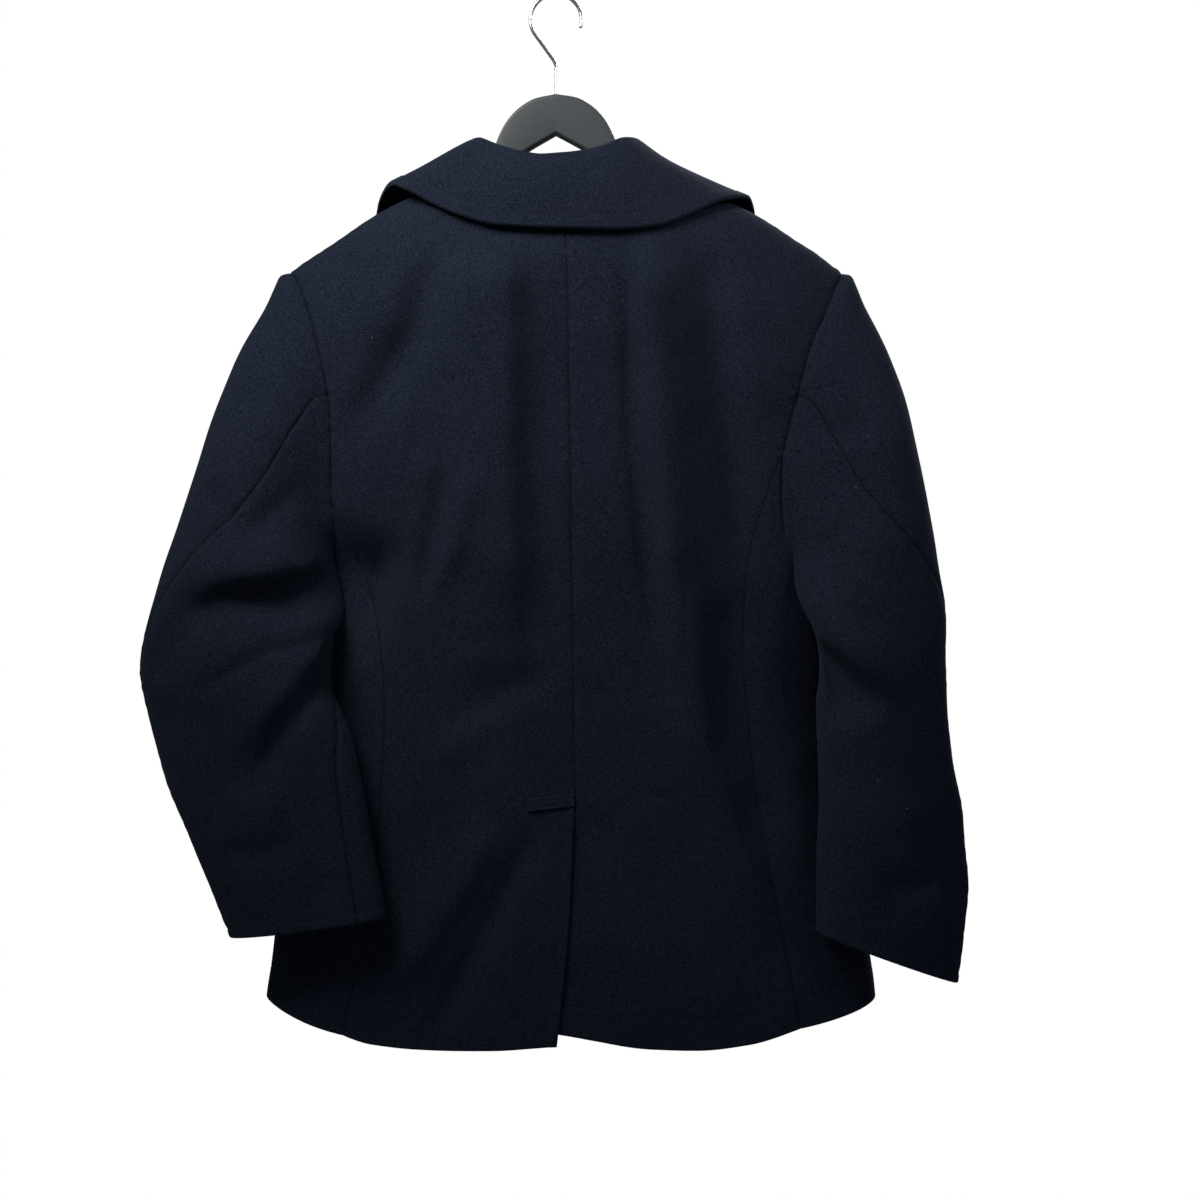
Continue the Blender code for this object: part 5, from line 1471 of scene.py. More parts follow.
@dataclass
class Stitcher:
    """Lines of stitches that follow paths over the cloth, made by Geometry Nodes."""

    pitch: float = 0.0040
    length: float = 0.0030
    width: float = 0.00075
    lift: float = 0.00015
    thread: Material | None = None
    tree: bpy.types.NodeTree | None = None

    def plan(self) -> bpy.types.NodeTree:
        """The node tree: points along a path, a small bead of thread on each, turned to lie flat."""
        tree = bpy.data.node_groups.new("stitch_line", "GeometryNodeTree")
        face = tree.interface
        face.new_socket("Geometry", in_out="INPUT", socket_type="NodeSocketGeometry")
        for name, value in (("Pitch", self.pitch), ("Length", self.length), ("Width", self.width)):
            face.new_socket(name, in_out="INPUT", socket_type="NodeSocketFloat").default_value = value
        face.new_socket("Thread", in_out="INPUT", socket_type="NodeSocketMaterial")
        face.new_socket("Geometry", in_out="OUTPUT", socket_type="NodeSocketGeometry")
        kinds = {
            "start": "NodeGroupInput",
            "path": "GeometryNodeMeshToCurve",
            "spots": "GeometryNodeCurveToPoints",
            "out": "GeometryNodeInputNamedAttribute",
            "along": "FunctionNodeAlignRotationToVector",
            "flat": "FunctionNodeAlignRotationToVector",
            "bead": "GeometryNodeMeshIcoSphere",
            "size": "ShaderNodeCombineXYZ",
            "place": "GeometryNodeInstanceOnPoints",
            "real": "GeometryNodeRealizeInstances",
            "dress": "GeometryNodeSetMaterial",
            "end": "NodeGroupOutput",
        }
        nodes = {name: tree.nodes.new(kind) for name, kind in kinds.items()}
        nodes["spots"].mode, nodes["out"].data_type = "LENGTH", "FLOAT_VECTOR"
        nodes["out"].inputs["Name"].default_value = "out"
        nodes["along"].axis = "X"
        nodes["flat"].axis, nodes["flat"].pivot_axis = "Z", "X"
        nodes["bead"].inputs["Radius"].default_value = 0.5
        nodes["bead"].inputs["Subdivisions"].default_value = 1
        for source, output, target, socket in (
            ("start", "Geometry", "path", "Mesh"),
            ("path", "Curve", "spots", "Curve"),
            ("start", "Pitch", "spots", "Length"),
            ("spots", "Tangent", "along", "Vector"),
            ("along", "Rotation", "flat", "Rotation"),
            ("out", "Attribute", "flat", "Vector"),
            ("start", "Length", "size", "X"),
            ("start", "Width", "size", "Y"),
            ("start", "Width", "size", "Z"),
            ("spots", "Points", "place", "Points"),
            ("bead", "Mesh", "place", "Instance"),
            ("flat", "Rotation", "place", "Rotation"),
            ("size", "Vector", "place", "Scale"),
            ("place", "Instances", "real", "Geometry"),
            ("real", "Geometry", "dress", "Geometry"),
            ("start", "Thread", "dress", "Material"),
            ("dress", "Geometry", "end", "Geometry"),
        ):
            tree.links.new(nodes[source].outputs[output], nodes[target].inputs[socket])
        return tree

    def sew_on(self, name: str, paths: Sequence[tuple[Grid, Grid]]) -> Object:
        """Stitches along paths.

        Args:
            name: the new piece's name.
            paths: each path's points, and the way out of the cloth at each.

        Returns:
            One plain mesh object of all the stitches.
        """
        if self.tree is None:
            self.tree = self.plan()
        points = np.concatenate([p + w * self.lift for p, w in paths])
        ways = np.concatenate([w for _, w in paths])
        edges, base = [], 0
        for path, _ in paths:
            edges += [(base + i, base + i + 1) for i in range(len(path) - 1)]
            base += len(path)
        mesh = bpy.data.meshes.new(name + "_path")
        mesh.from_pydata(points.tolist(), edges, [])
        out = mesh.attributes.new("out", "FLOAT_VECTOR", "POINT")
        out.data.foreach_set("vector", ways.reshape(-1).astype(np.float32))
        carrier = link(name + "_path", mesh)
        modifier = carrier.modifiers.new("stitches", "NODES")
        modifier.node_group = self.tree
        sizes = {"Pitch": self.pitch, "Length": self.length, "Width": self.width, "Thread": self.thread}
        for item in self.tree.interface.items_tree:
            if item.in_out == "INPUT" and item.name in sizes:
                modifier[item.identifier] = sizes[item.name]
        bpy.context.view_layer.update()
        graph = bpy.context.evaluated_depsgraph_get()
        plain = bpy.data.meshes.new_from_object(carrier.evaluated_get(graph))
        plain.name = name
        bpy.data.objects.remove(carrier)
        return show(plain, self.thread, 80.0)


def lay_out(
    cloth: Cloth, finish: Material, held: Held, on: Sequence[str], *nodes: str
) -> Object:
    """Args:
        cloth: the finished cloth.
        finish: its material.
        held: how it is held; not used.
        on: nodes or pieces that carry it; not used.
        *nodes: CAD nodes that it stands for.

    Returns:
        The piece.
    """
    piece = register(show(cloth.mesh(), finish), "wool", *nodes)
    width, length, area = cloth.cut()
    LOG.info("%s: cut %.3f x %.3f m, %.4f square metres", piece.name, width, length, area)
    return piece


@dataclass
class Shell:
    """The back, side and front panels and the two-piece sleeves, sewn together."""

    torso: Torso
    hem_stitch: float = 0.025
    edge_stitch: float = 0.0070
    vent_stitch: float = 0.0078
    cuff_stitch: float = 0.0075
    sleeve_stitches: tuple[float, ...] = (0.0024, 0.0085)
    hem_cloth: float = 0.0016
    cloths: dict[str, Cloth] = field(default_factory=dict)

    def build(self) -> None:
        """Shapes every piece of cloth."""
        grids: dict[str, tuple[Grid, int]] = {}
        borders: dict[str, dict[Brink, Border]] = {}
        for side in Side:
            panels = Panels(self.torso, side)
            back, under, front = panels.back(), panels.under_arm(), panels.front()
            upper_sleeve, under_sleeve = SleeveForm(self.torso, panels).grids(back, under, front)
            made = (
                ("back", back, side, self.back_borders(panels)),
                ("side", under, side, self.side_borders()),
                ("front", front, -side, self.front_borders(panels)),
                ("sleeve_upper", upper_sleeve, -side, self.sleeve_borders(True)),
                ("sleeve_under", under_sleeve, -side, self.sleeve_borders(False)),
            )
            for kind, grid, flip, border in made:
                grids[f"{kind}_{side.word}"] = (grid, flip)
                borders[f"{kind}_{side.word}"] = border
        for name, (outer, inner) in sew(grids).items():
            hem = 0.0 if name.startswith("sleeve") else self.hem_cloth
            self.cloths[name] = Cloth(f"{name}_cloth", outer, inner, borders[name], hem).finish()

    def back_borders(self, panels: Panels) -> dict[Brink, Border]:
        """How one half of the back ends."""
        rows = panels.rows
        free = ease((rows - (panels.vent_row + 0.05)) / 0.25)
        stitched = (rows > panels.vent_row + 0.2) * float(panels.side > 0)
        vent = Border(free, dip=0.0007, stitches=(self.vent_stitch,), stitched=stitched)
        return around(Border(), Border(1.0, stitches=(self.hem_stitch,)), vent, Border(dip=0.0006))

    def side_borders(self) -> dict[Brink, Border]:
        """How the panel under the arm ends."""
        hem = Border(1.0, stitches=(self.hem_stitch,))
        return around(Border(), hem, Border(dip=0.0003), Border(dip=0.0003))

    def front_borders(self, panels: Panels) -> dict[Brink, Border]:
        """How one front ends."""
        rows, break_row = panels.rows, panels.neck_rows + panels.roll_rows
        free, stitched = ease((rows - break_row) / 0.5), rows > break_row + 0.4
        opening = Border(free, dip=0.0, stitches=(self.edge_stitch,), stitched=stitched)
        return around(Border(), Border(1.0, stitches=(self.hem_stitch,)), opening, Border())

    def sleeve_borders(self, upper: bool) -> dict[Brink, Border]:
        """How one piece of a sleeve ends."""
        front = Border(stitches=self.sleeve_stitches) if upper else Border()
        return around(Border(), Border(1.0, stitches=(self.cuff_stitch,)), front, Border())

    def dress(self, wool: Material, stitcher: Stitcher) -> None:
        """Puts the cloth in the scene and sews its lines of stitches."""
        for name, cloth in self.cloths.items():
            lay_out(cloth, wool, Held.HUNG, ("hanger",), name)
        for group in ("back", "side", "front", "sleeve"):
            lines = [s for n, c in self.cloths.items() if n.startswith(group) for s in c.stitch_lines()]
            register(stitcher.sew_on(f"{group}_stitches", lines), "wool")


@dataclass
class Collar:
    """The wide collar: it rises from the neckline, turns over and falls on the shoulders."""

    torso: Torso
    cloth: float = 0.0045
    radius: float = 0.0062
    bulge: float = 0.0045
    stitch: float = 0.0110
    plain_steps: int = 32

    def section(self, base: Grid, roll: Grid, edge: Grid, up: Grid, bulge: float) -> tuple[Grid, Grid]:
        """One section across the collar, from base to edge.

        Args:
            base, roll, edge: where it starts, turns over and ends.
            up: roughly square to the fall.
            bulge: how far the fall bows out.

        Returns:
            Points of its face and of its back.
        """
        along = unit(edge - roll)
        up = unit(up - np.dot(up, along) * along)
        centre = roll + self.radius * along
        away = np.cross(along, up)

        def touch(point: Grid, turn: int) -> float:
            """Angle at which a line from point meets the roll."""
            flat = np.array([np.dot(point - centre, along), np.dot(point - centre, up)])
            reach = max(float(np.linalg.norm(flat)), self.radius)
            return (math.atan2(flat[1], flat[0]) + turn * math.acos(self.radius / reach)) % (2 * math.pi)

        turns = np.linspace(max(touch(base, -1), math.pi), touch(edge, 1), 15)
        arc = centre + self.radius * (np.outer(np.cos(turns), along) + np.outer(np.sin(turns), up))
        w = fine(5, (), (5,))[1:, None] / 5
        fall = arc[-1] + w * (edge - arc[-1]) + up * bulge * np.sin(math.pi * w**0.8)
        v = np.linspace(0, 1, 9)[:-1, None]
        face = np.concatenate([base + v * (arc[0] - base), arc, fall])
        normal = unit(np.cross(away, np.gradient(face, axis=0)))
        return face, face - normal * self.cloth

    def neck(self, s: Grid) -> Grid:
        """Points of the neckline."""
        out, drop = self.torso.neckline(s)
        side = np.where(s < 0.5, 1, -1)
        face = np.where((s >= 0.3) & (s <= 0.7), 1, -1)
        return self.torso.surface(side, side * out, drop, face)

    def build(self) -> Cloth:
        """Shapes the collar from the left gorge round to the right one."""
        steps = fine(self.plain_steps, (), (0, self.plain_steps))
        s = np.interp(steps, [0, 8, 24, 32], [0, 0.3, 0.7, 1])
        roll, edge = COLLAR.points("roll", s), COLLAR.points("edge", s)
        neck = self.neck(s)
        tangent = np.gradient(roll, s, axis=0)
        faces, backs = [], []
        for here, one, place, tip, way in zip(s, neck, roll, edge, tangent):
            up = np.cross(way, tip - place)
            up *= np.sign(np.dot(up, [0, place[1] * 15, 1])) / np.linalg.norm(up)
            front = float(np.clip((abs(here - 0.5) - 0.44) / 0.06, 0, 1))
            inwards = unit(np.array([-one[0], -0.3 * one[1], 0.05 - 0.02 * front]))
            base = one + inwards * (0.0020 + 0.0020 * front) - up * CLOTH * front
            bow = self.bulge * abs(math.cos(math.pi * (here - 0.5) / 0.4))
            face, back = self.section(base, place, tip, up, bow)
            faces.append(face)
            backs.append(back)
        sewn = Border(1.0, stitches=(self.stitch,))
        rims = around(sewn, sewn, Border(0.5), sewn)
        return Cloth("collar_cloth", np.array(faces), np.array(backs), rims, puff=0.0007).finish()


@dataclass
class Lapel:
    """A lapel: from the front's edge it turns over and lies on the front."""

    torso: Torso
    side: Side
    cloth: float = 0.0040
    rise: float = 0.0064
    roll: float = 0.00455
    stitch: float = 0.0070
    notch: float = 0.52
    notched: float = 0.62  # share of the top row where its free edge starts
    top_share: float = 0.3  # share of its length that the notch bends
    gorge_gap: float = 0.0016
    collar_tip: tuple[float, float] = (0.153, 0.231)
    tip: tuple[float, float] = (0.168, 0.262)
    plain_rows: int = 13

    @property
    def shown(self) -> tuple[float, float]:
        """Shares of the roll line and of the edge that show: the right one ends under the left front."""
        return (1.0, 1.0) if self.side > 0 else (0.33, 0.51)

    def places(self) -> Grid:
        """Out and drop of its rows and columns."""
        share = fine(self.plain_rows, (), (0, self.plain_rows)) / self.plain_rows
        roll = self.torso.roll_line(share * self.shown[0])
        reach = share * self.shown[1]
        edge = np.stack([LAPEL_EDGE("out", reach), LAPEL_EDGE("drop", reach)], -1)
        w = fine(6, (), (6,)) / 6
        places = roll[:, None] + (edge - roll)[:, None] * w[:, None]
        gorge = np.array(self.torso.gorge)
        corners = np.array([gorge, gorge + self.notch * (np.array(self.collar_tip) - gorge), self.tip])
        along = np.concatenate([[0], np.cumsum(np.linalg.norm(np.diff(corners, axis=0), axis=1))])
        bent = np.stack([np.interp(w * along[-1], along, column) for column in corners.T], -1)
        places += (bent - places[0])[None] * np.clip(1 - share / self.top_share, 0, 1)[:, None, None]
        places[..., 1] += self.gorge_gap
        return places

    def face(self, places: Grid, depth: float) -> Grid:
        """Points of the lapel at a depth in its cloth."""
        side, front = self.side, self.torso.front
        fall = front(side, places[..., 0], places[..., 1], self.rise - depth)
        low = front(side, places[:, 0, 0], places[:, 0, 1])
        over = front(side, places[:, 0, 0], places[:, 0, 1], 1.0) - low
        away = fall[:, 1] - fall[:, 0]
        away = unit(away - (away * over).sum(1, keepdims=True) * over)
        centre = low + over * (self.rise - self.roll) - away * 0.0015
        turns = np.radians(np.linspace(-90, 90, 13))
        arc = centre[:, None] + (self.roll - depth) * (
            np.sin(turns)[:, None] * over[:, None] - np.cos(turns)[:, None] * away[:, None]
        )
        return np.concatenate([arc, fall[:, 1:]], axis=1)

    def build(self) -> Cloth:
        """Shapes the lapel."""
        places = self.places()
        outer, inner = self.face(places, 0.0), self.face(places, self.cloth)
        notched = np.arange(outer.shape[1]) > outer.shape[1] * self.notched
        top = Border(1.0, stitches=(self.stitch,), stitched=notched)
        rims = around(top, Border(1.0), Border(dip=0.0), Border(1.0, stitches=(self.stitch,)))
        return Cloth(f"lapel_{self.side.word}_cloth", outer, inner, rims, puff=0.0006).finish()


@dataclass
class Strip:
    """A small four-cornered strip of cloth that lies on a panel."""

    name: str
    surface: Callable[[Grid, Grid, float], Grid]
    corners: Sequence[tuple[float, float]]  # near top, far top, near foot and far foot
    rows: int
    columns: int
    rise: float
    stitch: float

    def build(self) -> Cloth:
        """Shapes the strip."""
        v = fine(self.rows, (), (0, self.rows))[:, None, None] / self.rows
        u = fine(self.columns, (), (0, self.columns))[None, :, None] / self.columns
        near_top, far_top, near_foot, far_foot = (np.array(c) for c in self.corners)
        places = (1 - v) * ((1 - u) * near_top + u * far_top) + v * ((1 - u) * near_foot + u * far_foot)
        outer = self.surface(places[..., 0], places[..., 1], REST_GAP * 2 + self.rise)
        inner = self.surface(places[..., 0], places[..., 1], REST_GAP * 2)
        rims = {brink: Border(1.0, stitches=(self.stitch,)) for brink in Brink}
        return Cloth(self.name, outer, inner, rims, puff=0.0002).finish()


@dataclass
class Trim:
    """The pocket welts, the bar over the vent and the buttonholes."""

    torso: Torso
    welt_out: float = 0.148
    welt_lean: float = 0.010
    welt_width: float = 0.026
    welt_top: float = 0.600
    welt_foot: float = 0.765
    bar_start: float = -0.0165  # x of its end at the vent's edge
    bar_drops: tuple[float, float] = (0.6705, 0.6755)  # of its near and far top corners
    bar_length: float = 0.039
    bar_width: float = 0.0100
    bar_rise: float = 0.0014

    def welt(self, side: Side) -> Cloth:
        """One slanted pocket welt."""
        inner = self.welt_out - self.welt_width / 2
        corners = [
            (inner, self.welt_top),
            (inner + self.welt_width, self.welt_top + 0.002),
            (inner + self.welt_lean, self.welt_foot),
            (inner + self.welt_lean + self.welt_width, self.welt_foot + 0.002),
        ]

        def surface(out: Grid, drop: Grid, rise: float) -> Grid:
            """The front that it lies on."""
            return self.torso.front(side, out, drop, rise)

        return Strip(f"pocket_welt_{side.word}_cloth", surface, corners, 8, 2, CLOTH, 0.0050).build()

    def bar(self) -> Cloth:
        """The stitched bar that holds the top of the vent."""
        centre = float(TORSO("centre", self.torso.vent_top))
        near = np.array([self.bar_start - centre, self.bar_drops[0]])
        far = np.array([self.bar_start + self.bar_length - centre, self.bar_drops[1]])
        low = np.array([0, self.bar_width])

        def surface(out: Grid, drop: Grid, rise: float) -> Grid:
            """The back that it lies on."""
            return self.torso.surface(Side.LEFT, out, drop, Face.BACK, rise)

        corners = [tuple(near), tuple(far), tuple(near + low), tuple(far + low)]
        return Strip("vent_bar_cloth", surface, corners, 3, 8, self.bar_rise, 0.0022).build()


@dataclass
class Buttons:
    """Two columns of four dished buttons on the left front, sewn on through four holes."""

    torso: Torso
    radius: float = 0.0155
    depth: float = 0.0045
    across: float = 0.070
    drops: tuple[float, ...] = (0.468, 0.568, 0.668, 0.768)
    hole_radius: float = 0.0013
    hole_out: float = 0.0030
    hole_spread: float = 0.72
    thread: float = 0.00055
    steps: int = 64
    profile: Rows = (  # radius and height, as shares
        (0.00, 0.00), (0.78, 0.00), (0.88, 0.04), (0.96, 0.16), (1.00, 0.36), (1.00, 0.66), (0.985, 0.84),
        (0.955, 0.96), (0.915, 1.00), (0.865, 0.985), (0.82, 0.92), (0.775, 0.78), (0.72, 0.66),
        (0.64, 0.60), (0.50, 0.565), (0.30, 0.55), (0.00, 0.55),
    )

    def disc(self) -> Mesh:
        """One button, lying flat at the origin, with its holes cut through."""
        bm = bmesh.new()
        points = [bm.verts.new((self.radius * r, 0, self.depth * h)) for r, h in self.profile]
        edges = [bm.edges.new(pair) for pair in zip(points[:-1], points[1:])]
        bmesh.ops.spin(
            bm, geom=points + edges, axis=(0, 0, 1), cent=(0, 0, 0), steps=self.steps, angle=2 * math.pi
        )
        bmesh.ops.remove_doubles(bm, verts=bm.verts, dist=0.00001)
        bmesh.ops.recalc_face_normals(bm, faces=bm.faces)
        drill = bmesh.new()
        sizes = {"radius1": self.hole_radius, "radius2": self.hole_radius * 1.25, "depth": 0.010}
        for x in (-self.hole_out, self.hole_out):
            for y in (-self.hole_out, self.hole_out):
                made = bmesh.ops.create_cone(drill, cap_ends=True, segments=16, **sizes)
                place = (x * self.hole_spread, y * self.hole_spread, 0.0015)
                bmesh.ops.translate(drill, verts=made["verts"], vec=place)
        meshes = closed(bm, "button_plain"), closed(drill, "button_drill")
        blank, bit = (link(mesh.name, mesh) for mesh in meshes)
        cut = blank.modifiers.new("holes", "BOOLEAN")
        cut.object, cut.operation, cut.solver = bit, "DIFFERENCE", "EXACT"
        bpy.context.view_layer.update()
        disc = bpy.data.meshes.new_from_object(blank.evaluated_get(bpy.context.evaluated_depsgraph_get()))
        for made in (blank, bit):
            bpy.data.objects.remove(made)
        return disc

    def seat(self, out: float, drop: float, ripple: Ripple) -> Any:
        """Where a button lies, as a matrix that turns +Z out of the cloth."""
        step, lift = 0.004, REST_GAP + 0.0003
        places = (out, drop), (out + step, drop), (out, drop + step)
        point, right, low = (self.torso.front(Side.LEFT, *place, lift) for place in places)
        normal = Vector(np.cross(right - point, low - point)).normalized()
        if normal.dot(Vector((point[0], point[1], 0))) < 0:
            normal.negate()
        place = Vector(point) + normal * float(ripple(point[None])[0])
        turn = normal.to_track_quat("Z", "Y").to_matrix().to_4x4()
        turn.translation = place
        return turn

    def threads(self) -> Mesh:
        """Crossed sewing thread between the holes, over a button at the origin."""
        bm = bmesh.new()
        out, top = self.hole_out * self.hole_spread, self.depth * 0.55
        for (x0, y0), (x1, y1) in (((-out, -out), (out, out)), ((-out, out), (out, -out))):
            for shift in (-self.thread * 0.8, self.thread * 0.8):
                across = Vector((-(y1 - y0), x1 - x0, 0)).normalized() * shift
                path = []
                for t in np.linspace(0, 1, 9):
                    arch = top - 0.0012 + 0.0024 * math.sin(math.pi * t) ** 0.5
                    path.append(Vector((x0 + (x1 - x0) * t, y0 + (y1 - y0) * t, arch)) + across)
                tube(bm, path, self.thread, 6)
        return closed(bm, "button_threads")

    def dress(self, horn: Material, thread: Material) -> None:
        """Puts the buttons and their threads in the scene."""
        disc, cross, ripple = self.disc(), self.threads(), Ripple()
        sewn = bmesh.new()
        for column, out in (("left", self.across), ("right", -self.across)):
            for number, drop in enumerate(self.drops, 1):
                seat = self.seat(out, drop, ripple)
                mesh = disc.copy()
                mesh.name = f"button_{column}_{number}_horn"
                mesh.transform(seat)
                register(show(mesh, horn, 35.0), "button", f"button_{column}_{number}")
                copy = cross.copy()
                copy.transform(seat)
                sewn.from_mesh(copy)
        register(show(closed(sewn, "button_threads"), thread), "wool")

    def holes(self, ripple: Ripple) -> list[tuple[Grid, Grid]]:
        """Paths of the buttonholes' edges, beside the column nearest the opening."""
        lines = []
        for drop in self.drops:
            for shift in (-0.0011, 0.0011):
                out = np.linspace(-self.across - 0.0195, -self.across + 0.004, 12)
                points = self.torso.front(Side.LEFT, out, np.full(12, drop + shift))
                points[:, 1] -= ripple(points)
                lines.append((points, np.tile([0.0, -1.0, 0.0], (12, 1))))
        return lines


def tube(bm: bmesh.types.BMesh, path: Sequence[Vector], radius: float, sides: int) -> None:
    """Adds a round closed tube along a path.

    Args:
        bm: the mesh that it is added to.
        path: its points.
        radius: its radius.
        sides: how many sides it has.
    """
    rings = []
    for i, point in enumerate(path):
        way = (path[min(i + 1, len(path) - 1)] - path[max(i - 1, 0)]).normalized()
        turn = way.to_track_quat("Z", "Y")
        rings.append(
            [
                bm.verts.new(point + turn @ Vector((radius * math.cos(a), radius * math.sin(a), 0)))
                for a in np.linspace(0, 2 * math.pi, sides, endpoint=False)
            ]
        )
    for one, two in zip(rings[:-1], rings[1:]):
        for i in range(sides):
            j = (i + 1) % sides
            bm.faces.new((one[i], one[j], two[j], two[i]))
    bm.faces.new(rings[0][::-1])
    bm.faces.new(rings[-1])


@dataclass
class Hanger:
    """A flat moulded hanger with a domed middle, and its hook of bent wire."""

    thick: float = 0.013
    corner: float = 0.0035
    corner_steps: int = 8
    half: float = 0.188
    arm: float = 0.075
    arm_sag: float = 0.0018
    arm_height: float = 0.0205
    arm_taper: float = 0.004
    end_round: float = 0.004
    end_shrink: float = 0.0035
    tilt: float = math.tan(math.radians(1.25))
    seat: float = 0.0055
    wire: float = 0.0015
    hook_radius: float = 0.0217
    hook_start: float = -36.0  # degrees around the bend from the wearer's left
    hook_end: float = 195.0
    stem_bend: float = 0.0570

    def body(self) -> Mesh:
        """The plastic part: one rounded section for each station across it."""
        half = self.thick / 2
        knots = HANGER.rows[:-2, 0]
        inner = np.unique(np.concatenate([np.linspace(a, b, 9) for a, b in zip(knots[:-1], knots[1:])]))
        arm = np.linspace(self.arm, self.half - 0.0045, 40)
        tip = self.half - self.end_round * (1 - np.sin(np.linspace(0, math.pi / 2, 8)))
        across = np.unique(np.concatenate([inner, arm, tip]).round(7))
        across = np.concatenate([-across[:0:-1], across])
        angles = np.radians(np.linspace(0, 90, self.corner_steps + 1))
        bm = bmesh.new()
        rings = []
        for x in across:
            top, foot = self.edges(abs(x))
            top, foot = top + self.tilt * x, foot + self.tilt * x
            near = np.clip((abs(x) - self.half + self.end_round) / self.end_round, 0, 1)
            shrink = self.end_shrink * (1 - math.sqrt(max(1 - near**2, 0)))
            side, outline = half - shrink * 0.6, []
            for turn_y, drop, level in ((1, top, 1), (-1, top, 1), (-1, foot, -1), (1, foot, -1)):
                for angle in angles if turn_y * level > 0 else angles[::-1]:
                    y = turn_y * (side - self.corner + self.corner * math.cos(angle))
                    z = -drop + level * (self.corner * math.sin(angle) - self.corner - shrink)
                    outline.append(bm.verts.new((x, y, z)))
            rings.append(outline)
        for one, two in zip(rings[:-1], rings[1:]):
            for i in range(len(one)):
                j = (i + 1) % len(one)
                bm.faces.new((one[i], one[j], two[j], two[i]))
        bm.faces.new(rings[0])
        bm.faces.new(rings[-1][::-1])
        bmesh.ops.recalc_face_normals(bm, faces=bm.faces)
        return closed(bm, "hanger_moulding")

    def edges(self, x: float) -> tuple[float, float]:
        """Drops of its top and foot at a distance from its middle."""
        if x < self.arm:
            return float(HANGER("top", x)), float(HANGER("foot", x))
        share = (x - self.arm) / (self.half - self.arm)
        top = float(SHOULDER("drop", x)) + self.seat + self.arm_sag * share**2
        return top, top + self.arm_height - self.arm_taper * share

    def hook(self) -> Mesh:
        """The wire: a stem out of the plastic, a bend to one side and an open circle with a round tip."""
        low = self.hook_radius - self.wire
        turns = np.radians(np.linspace(self.hook_start, self.hook_end, 96))
        circle = [(self.hook_radius * math.cos(a), 0, self.hook_radius * math.sin(a) - low) for a in turns]
        stem = (0, 0, -self.stem_bend - 0.002), (0.0012, 0, 0.0015 - self.stem_bend)
        path = [Vector((0, 0, 0.0003 - HANGER.rows[0, 1]))]
        knots = [Vector(point) for point in (*stem, circle[0])]
        path += [path[0].lerp(knots[0], t) for t in np.linspace(0.1, 0.9, 9)]
        bend = knots[0], knots[1], knots[1].lerp(knots[2], 0.12)
        for t in np.linspace(0, 1, 9):
            path.append(bend[0].lerp(bend[1], t).lerp(bend[1].lerp(bend[2], t), t))
        path += [bend[2].lerp(knots[2], t) for t in np.linspace(0.1, 1, 10)]
        path += [Vector(point) for point in circle[1:]]
        bm = bmesh.new()
        tube(bm, path, self.wire, 20)
        end = (path[-1] - path[-2]).normalized()
        ball = bmesh.ops.create_icosphere(bm, subdivisions=3, radius=self.wire * 1.01)["verts"]
        bmesh.ops.translate(bm, verts=ball, vec=path[-1] - end * 0.0001)
        bmesh.ops.recalc_face_normals(bm, faces=bm.faces)
        return closed(bm, "hook_wire")

    def dress(self, plastic: Material, chrome: Material) -> None:
        """Puts the hanger and its hook in the scene."""
        register(show(self.body(), plastic, 40.0), "plastic", "hanger")
        register(show(self.hook(), chrome, 60.0), "chrome", "hook")


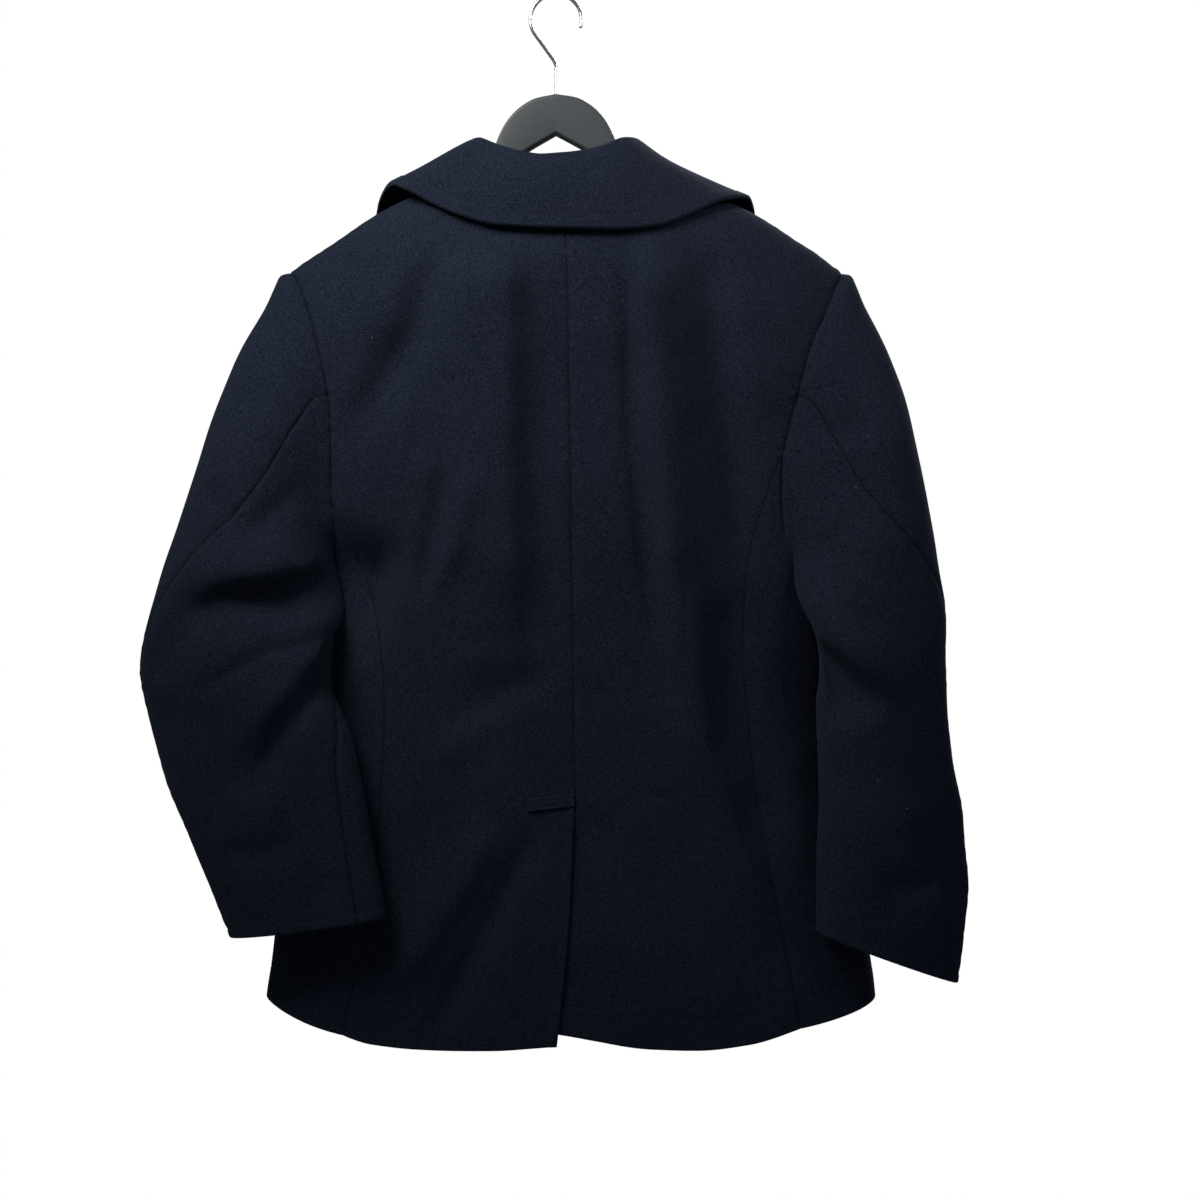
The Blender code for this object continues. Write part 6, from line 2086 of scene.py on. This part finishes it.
@dataclass
class Studio:
    """A pale floor, a key, a side and a front light, and a level camera behind the coat."""

    floor_drop: float = 1.95
    floor_radius: float = 2.8
    distance: float = 1.6
    aim: tuple[float, float] = (-0.0374, -0.513)
    lens: float = 56.5
    world: float = 0.12
    tint: Colour = (0.66, 0.86, 1, 1)

    def floor(self) -> None:
        """The round floor, part of the stage."""
        bm = bmesh.new()
        bmesh.ops.create_circle(bm, cap_ends=True, segments=96, radius=self.floor_radius)
        bmesh.ops.translate(bm, verts=bm.verts, vec=(0, 0, -self.floor_drop))
        show(closed(bm, "studio_floor"), PaleFloor().material())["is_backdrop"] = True

    def light(
        self,
        name: str,
        place: Sequence[float],
        aim: Sequence[float],
        size: float,
        power: float,
        spread: float,
    ) -> None:
        """One square soft light.

        Args:
            name: its name.
            place, aim: where it stands and what it points at.
            size, power: its side and its watts.
            spread: how widely it shines, in degrees.
        """
        lamp = bpy.data.lights.new(name, "AREA")
        lamp.size, lamp.energy, lamp.spread = size, power, math.radians(spread)
        made = link(name, lamp)
        made.location = place
        made.rotation_euler = (Vector(place) - Vector(aim)).to_track_quat("Z", "Y").to_euler()

    def build(self) -> None:
        """Sets up floor, lights, background and camera."""
        self.floor()
        self.light("key_light", (0.54, 0.58, 0.36), (0.11, 0.05, -0.14), 0.55, 3.2, 80)
        self.light("side_light", (-0.80, 0.55, 0.10), (-0.28, 0.04, -0.20), 0.50, 0.46, 62)
        self.light("front_light", (-0.9, -1.5, 0.8), (0.0, -0.04, -0.35), 0.9, 34.0, 180)
        scene = bpy.context.scene
        world = bpy.data.worlds.new("studio_world")
        world.use_nodes = True
        tree = world.node_tree
        seen, dim = tree.nodes["Background"], tree.nodes.new("ShaderNodeBackground")
        for sky, colour, power in ((seen, (1, 1, 1, 1), 1.0), (dim, self.tint, self.world)):
            sky.inputs["Color"].default_value, sky.inputs["Strength"].default_value = colour, power
        path, pick = tree.nodes.new("ShaderNodeLightPath"), tree.nodes.new("ShaderNodeMixShader")
        tree.links.new(path.outputs["Is Camera Ray"], pick.inputs[0])
        tree.links.new(dim.outputs[0], pick.inputs[1])
        tree.links.new(seen.outputs[0], pick.inputs[2])
        tree.links.new(pick.outputs[0], tree.nodes["World Output"].inputs["Surface"])
        scene.world = world
        scene.view_settings.view_transform = "Standard"
        camera = bpy.data.cameras.new("camera")
        camera.sensor_width, camera.lens = 36.0, self.lens
        eye = link("camera", camera)
        eye.location = (self.aim[0], self.distance, self.aim[1])
        eye.rotation_euler = (math.radians(90), 0, math.radians(180))
        scene.camera = eye


def plain(box: Any) -> list[list[float]]:
    """A box as plain lists of numbers."""
    return [[float(value) for value in corner] for corner in box]


def main() -> None:
    """Builds the coat, its trim and its hanger, and the studio around them."""
    logging.basicConfig(level=logging.INFO, format="%(message)s")
    wool, thread = MeltonWool().material(), WoolThread().material()
    horn, torso = ButtonHorn().material(), Torso()
    stitcher = Stitcher(thread=thread)
    Hanger().dress(HangerPlastic().material(), WireChrome().material())
    shell = Shell(torso)
    shell.build()
    shell.dress(wool, stitcher)
    collar = Collar(torso).build()
    lay_out(collar, wool, Held.FOLDED, ("back_left_cloth", "back_right_cloth"), "collar")
    register(stitcher.sew_on("collar_stitches", collar.stitch_lines()), "wool")
    lines: list[tuple[Grid, Grid]] = []
    for side in Side:
        lapel = Lapel(torso, side).build()
        lay_out(lapel, wool, Held.FOLDED, (f"front_{side.word}_cloth",), f"lapel_{side.word}")
        lines += lapel.stitch_lines()
    register(stitcher.sew_on("lapel_stitches", lines), "wool")
    trim, lines = Trim(torso), []
    for side in Side:
        welt = trim.welt(side)
        lay_out(welt, wool, Held.LAID, (f"front_{side.word}_cloth",), f"pocket_welt_{side.word}")
        lines += welt.stitch_lines()
    bar = trim.bar()
    register(show(bar.mesh(), wool), "wool", "vent_bar")
    register(stitcher.sew_on("trim_stitches", lines + bar.stitch_lines()), "wool")
    buttons = Buttons(torso)
    buttons.dress(horn, thread)
    satin = Stitcher(pitch=0.0009, length=0.0009, width=0.0013, thread=thread)
    register(satin.sew_on("buttonhole_stitches", buttons.holes(Ripple())), "wool")
    Studio().build()
    {"cad": plain(CAD_BOX), "visual": plain(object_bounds())}


if __name__ == "__main__":
    main()
